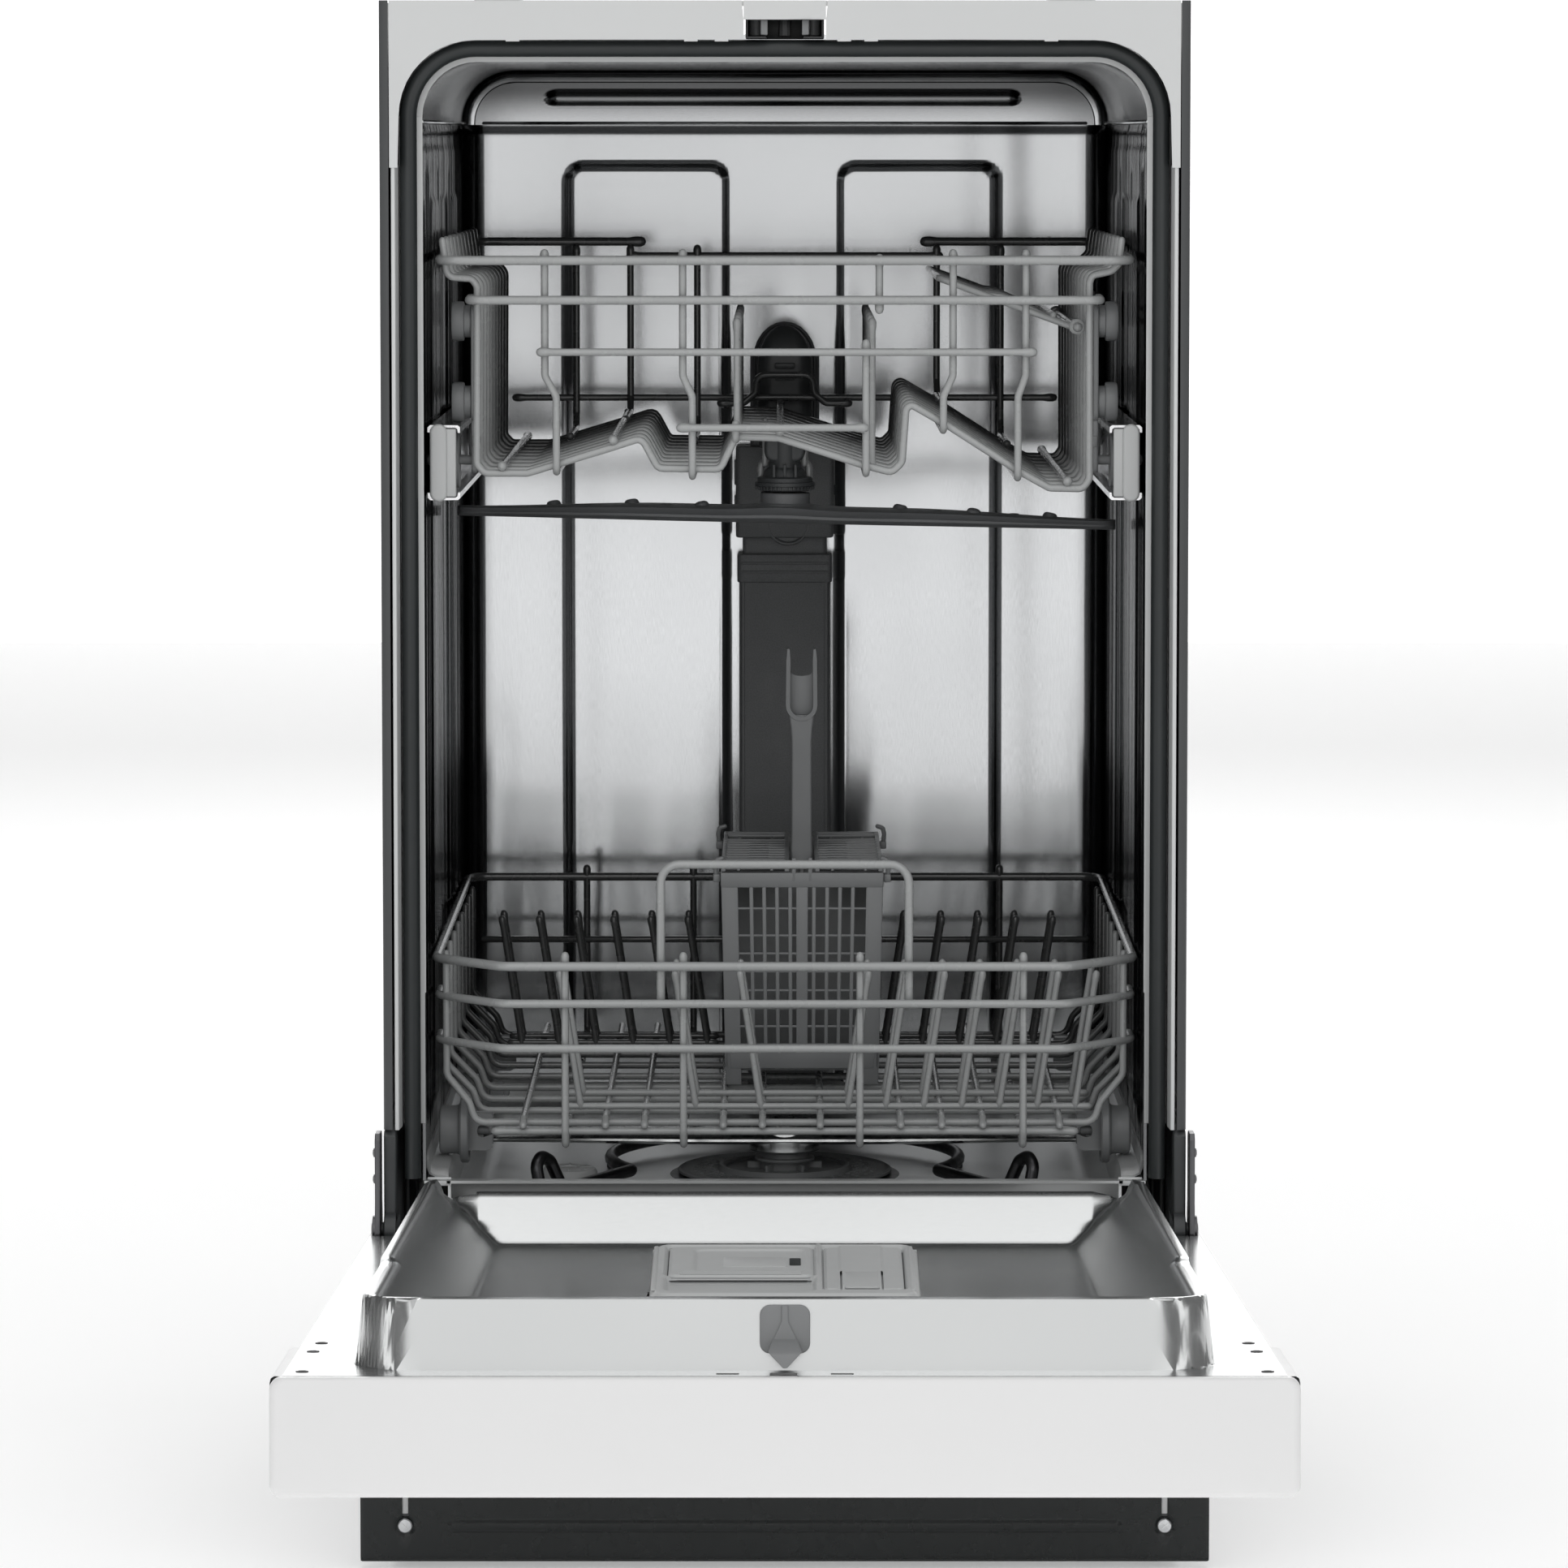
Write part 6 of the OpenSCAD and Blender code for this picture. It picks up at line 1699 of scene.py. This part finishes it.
corners = Shape()
for side in SIDES:
    low, high = sorted((side * 205.5, side * 211.9))
    slab(corners, [(0, 183), (3, 180), (44, 180), (44, 62), (46, 60), (108, 60), (110, 62), (110, 227),
                   (107, 229.6),
                   (3, 229.6), (0, 226.6)], low, high, 0.8, on_yz)
    for y in (8, 26, 50, 74, 98):
        flank(corners, side, (211.0, y - 1, 184 if y < 44 else 66), (211.98, y + 1, 225), 0.4)
    plate(corners, side, [(-14, 8), (-12, 6), (70, 6), (74, 10), (74, 60.4), (-14, 60.4)], 205.4, 209, 0.7)
    low, high = sorted((side * 178, side * 209))
    slab(corners, round_rect(low, high, 6, 60, 3), -16.5, -14, 0.6, on_xz)
    lathe(corners, [(0.1, 0), (9, 0), (9, 5.6), (8.4, 6.2), (4.4, 6.3), (4, 6.8), (4, 12.2), (3.2, 13),
                    (0.1, 13)],
          (side * 205.5, 0, PIVOT_Z), (side, 0, 0), 32)
piece(corners, "corner_brackets", "cabinet", "dark_grey_plastic", ("base_corners",))

KICK_Y = -18.5
SEAT_X, SEAT_Z = 200.5, 22
kick = Shape()


def kick_face(x, z):
    """Front of the toe kick: a long embossed bar and sunk screw seats."""
    out = 1.25 * ease(inside(x, z, -178, 178, 18.5, 25, 3.2) / 1.5)
    for side in SIDES:
        away = math.hypot(x - side * SEAT_X, z - SEAT_Z)
        out -= 0.9 * ease((6.4 - away) / 2.2)
    fold = min(z - 3, 108 - z, 224 - abs(x))
    return KICK_Y + 1.6 * (1 - ease(fold / 2.4)) - out


kx = samples(-224, 224, 14, (-222.5, -200.5, -178, 178, 200.5, 222.5), 7, 0.9)
kz = samples(3, 108, 8, (4, 21.8, 107), 5.5, 0.8)
sheet(kick, kx, kz, lambda x, z: (x, kick_face(x, z) + 0.5, z),
      lambda x, z: not (198.5 < abs(x) < 202.5 and 26.5 < z < 60)
      and math.hypot(abs(x) - SEAT_X, z - SEAT_Z) > 1.6)
for z0, z1 in ((3.2, 4.2), (106.8, 107.8)):
    block(kick, (-223.4, KICK_Y + 0.9, z0), (223.4, KICK_Y + 5, z1), 0.3)
piece(kick, "kick_plate", "cabinet", "toe_black", ("toe_kick",), 0.9, 40)

heads = Shape()
for side in SIDES:
    screw(heads, (side * SEAT_X, KICK_Y + 0.4, SEAT_Z), (0, -1, 0), 3.9, 1.7)
    lathe(heads, [(0.1, 0), (2, 0), (2, 6), (0.1, 7)], (side * SEAT_X, KICK_Y + 0.4, SEAT_Z), REARWARD, 16)
strips = Shape()
for side in SIDES:
    block(strips, (side * SEAT_X - 1.7, KICK_Y + 1.9, 28), (side * SEAT_X + 1.7, KICK_Y + 3.4, 58), 0.4)
piece(strips, "kick_slot_strips", "cabinet", "bright_frame")
piece(heads, "kick_screws", "cabinet", "zinc_steel", ("toe_kick_screws",), sharp=30)

for name, side, rear in CORNERS:
    x, y = side * 180, (100, 480)[rear]
    stand = Shape()
    lathe(stand, [(0.1, 0), (16, 0), (17, 1), (17, 4), (15.4, 6.4), (9, 8.4), (7.4, 10), (6.4, 12), (5, 12.4)]
          + [(5 - 0.55 * (k % 2), 13 + 1.15 * k) for k in range(85)] + [(4.2, 111.4), (3.4, 112), (0.1, 112)],
          (x, y, 0), UP, 28)
    lathe(stand, [(5.1, 12), (9, 12), (9.9, 12.8), (9.9, 17.2), (9, 18), (5.1, 18)], (x, y, 0), UP, 6)
    spin(stand, brick((7, -0.8, 4), (16.2, 0.8, 6.6), 0.5), 12, (x, y, 0))
    piece(stand, "leveller_" + name, "foot_" + name, "black_plastic", ("foot_" + name,), sharp=30)

# ---------------------------------------------------------------- pumps, valve, box, springs

MOTOR_Y, MOTOR_Z = 330, 118
motor = Shape()
profile = [(0.1, -22), (30, -22), (38, -21), (44, -18), (46, -14), (46, -4), (44.6, -0.6), (41, 1), (40, 3)]
for k in range(9):
    at = 8 + k * 8
    profile += [(40, at), (38.6, at + 0.8), (38.6, at + 3), (40, at + 3.8)]
profile += [(40, 84), (38, 88), (34, 90), (12, 90), (11, 87), (0.1, 87)]
lathe(motor, profile, (70, MOTOR_Y, MOTOR_Z), (1, 0, 0), 48)
spin(motor, brick((48.2, 38, -1.2), (70, 44.4, 1.2), 0.8), 8, (0, MOTOR_Y, MOTOR_Z), "X")
piece(motor, "circulation_motor", "cabinet", "dark_grey_plastic", ("circulation_pump",), sharp=30)

DRAIN_X, DRAIN_Z = -72, 105
drain = Shape()
lathe(drain, [(0.1, 0), (25, 0), (26, 1), (26, 8), (24.8, 9), (24.8, 20), (26, 21), (26, 30), (24.8, 31),
              (24.8, 42), (26, 43), (26, 48.6), (24.6, 50), (9, 50), (8.4, 48), (0.1, 48)],
      (-110, MOTOR_Y, DRAIN_Z), (1, 0, 0), 44)
block(drain, (-154.8, 308.2, 83.2), (-109.4, 351.8, 126.8), 3)
for x in (-148, -140, -132, -124, -116):
    block(drain, (x - 1, 307.8, 85), (x + 1, 352.1, 125), 0.6)
tube(drain, [(DRAIN_X, 346, DRAIN_Z), (DRAIN_X, 496, DRAIN_Z)], 7.9, 0, 24, True)
barbs = [(0.1, 492), (8.4, 492), (8.8, 492.2)]
for k in range(5):
    barbs += [(10, 493.2 + k * 5.6), (10, 495.4 + k * 5.6), (9.3, 498.2 + k * 5.6)]
lathe(drain, barbs + [(9.4, 520.6), (9, 521.8), (6, 522), (5.6, 519), (0.1, 519)],
      (DRAIN_X, 0, DRAIN_Z), REARWARD, 32)
piece(drain, "drain_motor", "cabinet", "dark_grey_plastic", ("drain_pump",), sharp=30)

valve = Shape()
block(valve, (-137.8, 452.2, 82.2), (-102.2, 492.4, 117.8), 2.5)
threads = [(0.1, 492.5), (12.6, 492.5)]
threads += [(13.2 - 0.7 * (k % 2), 493.4 + 1.05 * k) for k in range(26)]
lathe(valve, threads + [(12.6, 520.8), (12.2, 522), (9, 522), (8.6, 516), (0.1, 516)], (-120, 0, 100),
      REARWARD, 36)
lathe(valve, [(0.1, 0), (11, 0), (11, 1), (10, 2), (10, 10), (9, 11), (0.1, 11.4)], (-120, 472, 117), UP, 28)
for x in (-126, -114):
    block(valve, (x - 3, 466, 126), (x + 3, 467, 133), 0.3)
piece(valve, "valve_body", "cabinet", "light_grey_plastic", ("inlet_valve",), sharp=28)

wiring = Shape()
for low, high in (((120.1, 130.1, 67), (121.3, 203.9, 105)), ((188.7, 130.1, 67), (189.9, 203.9, 105)),
                  ((120.1, 130.1, 67), (189.9, 131.3, 105)), ((120.1, 202.7, 67), (189.9, 203.9, 105)),
                  ((118.9, 128.9, 104.6), (191.1, 205.1, 106)), ((120.1, 130.1, 66), (143.8, 203.9, 67.3)),
                  ((166.2, 130.1, 66), (189.9, 203.9, 67.3)), ((143, 130.1, 66), (167, 155.8, 67.3)),
                  ((143, 178.2, 66), (167, 203.9, 67.3))):
    block(wiring, low, high, 0.5)
lathe(wiring, [(11.2, 65.6), (15.8, 65.8), (15.8, 67), (11.2, 67.2)], (155, 167, 0), UP, 40)
for x in (128, 182):
    screw(wiring, (x, 167, 106), UP, 3.2, 1.3)
block(wiring, (134, 150, 105.6), (176, 184, 106.6), 0.4)
piece(wiring, "wiring_box", "cabinet", "zinc_steel", ("junction_box",), sharp=30)

SPRING_X, SPRING_Z, COIL_R = 195, 130, 4.9
TURNS, PER_TURN = 34, 14
springs = Shape()
for side in SIDES:
    coil = []
    for k in range(TURNS * PER_TURN + 1):
        t = math.tau * k / PER_TURN
        coil.append((side * SPRING_X + COIL_R * math.cos(t), 162 + 166 * k / (TURNS * PER_TURN),
                     SPRING_Z + COIL_R * math.sin(t)))
    tube(springs, coil, 1.05, 0, 6)
    for near, far in ((112, 166), (326, 369)):
        tube(springs, [(side * SPRING_X, near, SPRING_Z), (side * SPRING_X, far, SPRING_Z)], 1.8)
    flank(springs, side, (190, 366, 124), (201.8, 372, 136), 1)
piece(springs, "coil_springs", "cabinet", "zinc_steel", ("hinge_springs",), sharp=60)

# ---------------------------------------------------------------- blanket, rear straps, countertop tabs


def quilt(u, v):
    """Padding between the stitch lines."""
    return -2.4 * (1 - min(1, abs(math.sin(math.pi * u)) * 3) * min(1, abs(math.sin(math.pi * v)) * 3))


blanket = Shape()
for side in SIDES:
    us, vs = samples(30.5, 499.5, 7), samples(236, 792.5, 7)
    sheet(blanket, us, vs, lambda y, z, s=side: (
        s * (200.2 + quilt((y - 30) / 78.3, (z - 236) / 79.6)), y, z))
us, vs = samples(-187, 187, 7), samples(231, 793, 7)
sheet(blanket, us, vs, lambda x, z: (x, 498.2 + quilt((x + 187) / 93.5, (z - 231) / 80.3), z))
us, vs = samples(-187, 187, 7), samples(72.5, 489.5, 7)
sheet(blanket, us, vs, lambda x, y: (x, y, 800.2 + quilt((x + 187) / 93.5, (y - 72.5) / 83.4)))
piece(blanket, "sound_blanket", "cabinet", "bitumen_mat", ("insulation_blanket",), 1.1, 60)

straps = Shape()
for z in (238, 784):
    for low, high in (((-210.4, 511.05, z), (210.4, 512.55, z + 30)),
                      ((-208, 510.4, z + 9), (208, 511.6, z + 12)),
                      ((-208, 510.4, z + 18), (208, 511.6, z + 21))):
        block(straps, low, high, 0.5)
    for x in (-196, -120, 0, 120, 196):
        screw(straps, (x, 512.4, z + 15), REARWARD, 3.6, 1.5)
piece(straps, "rear_straps", "cabinet", "zinc_steel", ("rear_frame",), sharp=30)

TAB_X, TAB_Z = 150, 824
tabs = Shape()
for side in SIDES:
    x0, x1 = sorted((side * (TAB_X - 12), side * (TAB_X + 12)))
    for low, high in (((x0, -1, TAB_Z), (x1, 7.4, 825.5)), ((x0, 12.6, TAB_Z), (x1, 45, 825.5)),
                      ((x0, 6, TAB_Z), (side * TAB_X - 2.6, 14, 825.5)),
                      ((side * TAB_X + 2.6, 6, TAB_Z), (x1, 14, 825.5))):
        block(tabs, low, high, 0.4)
    for y in (28, 38):
        screw(tabs, (side * TAB_X, y, 824.6), UP, 2.8, 0.9)
piece(tabs, "counter_tabs", "cabinet", "zinc_steel", ("countertop_brackets",), sharp=30)
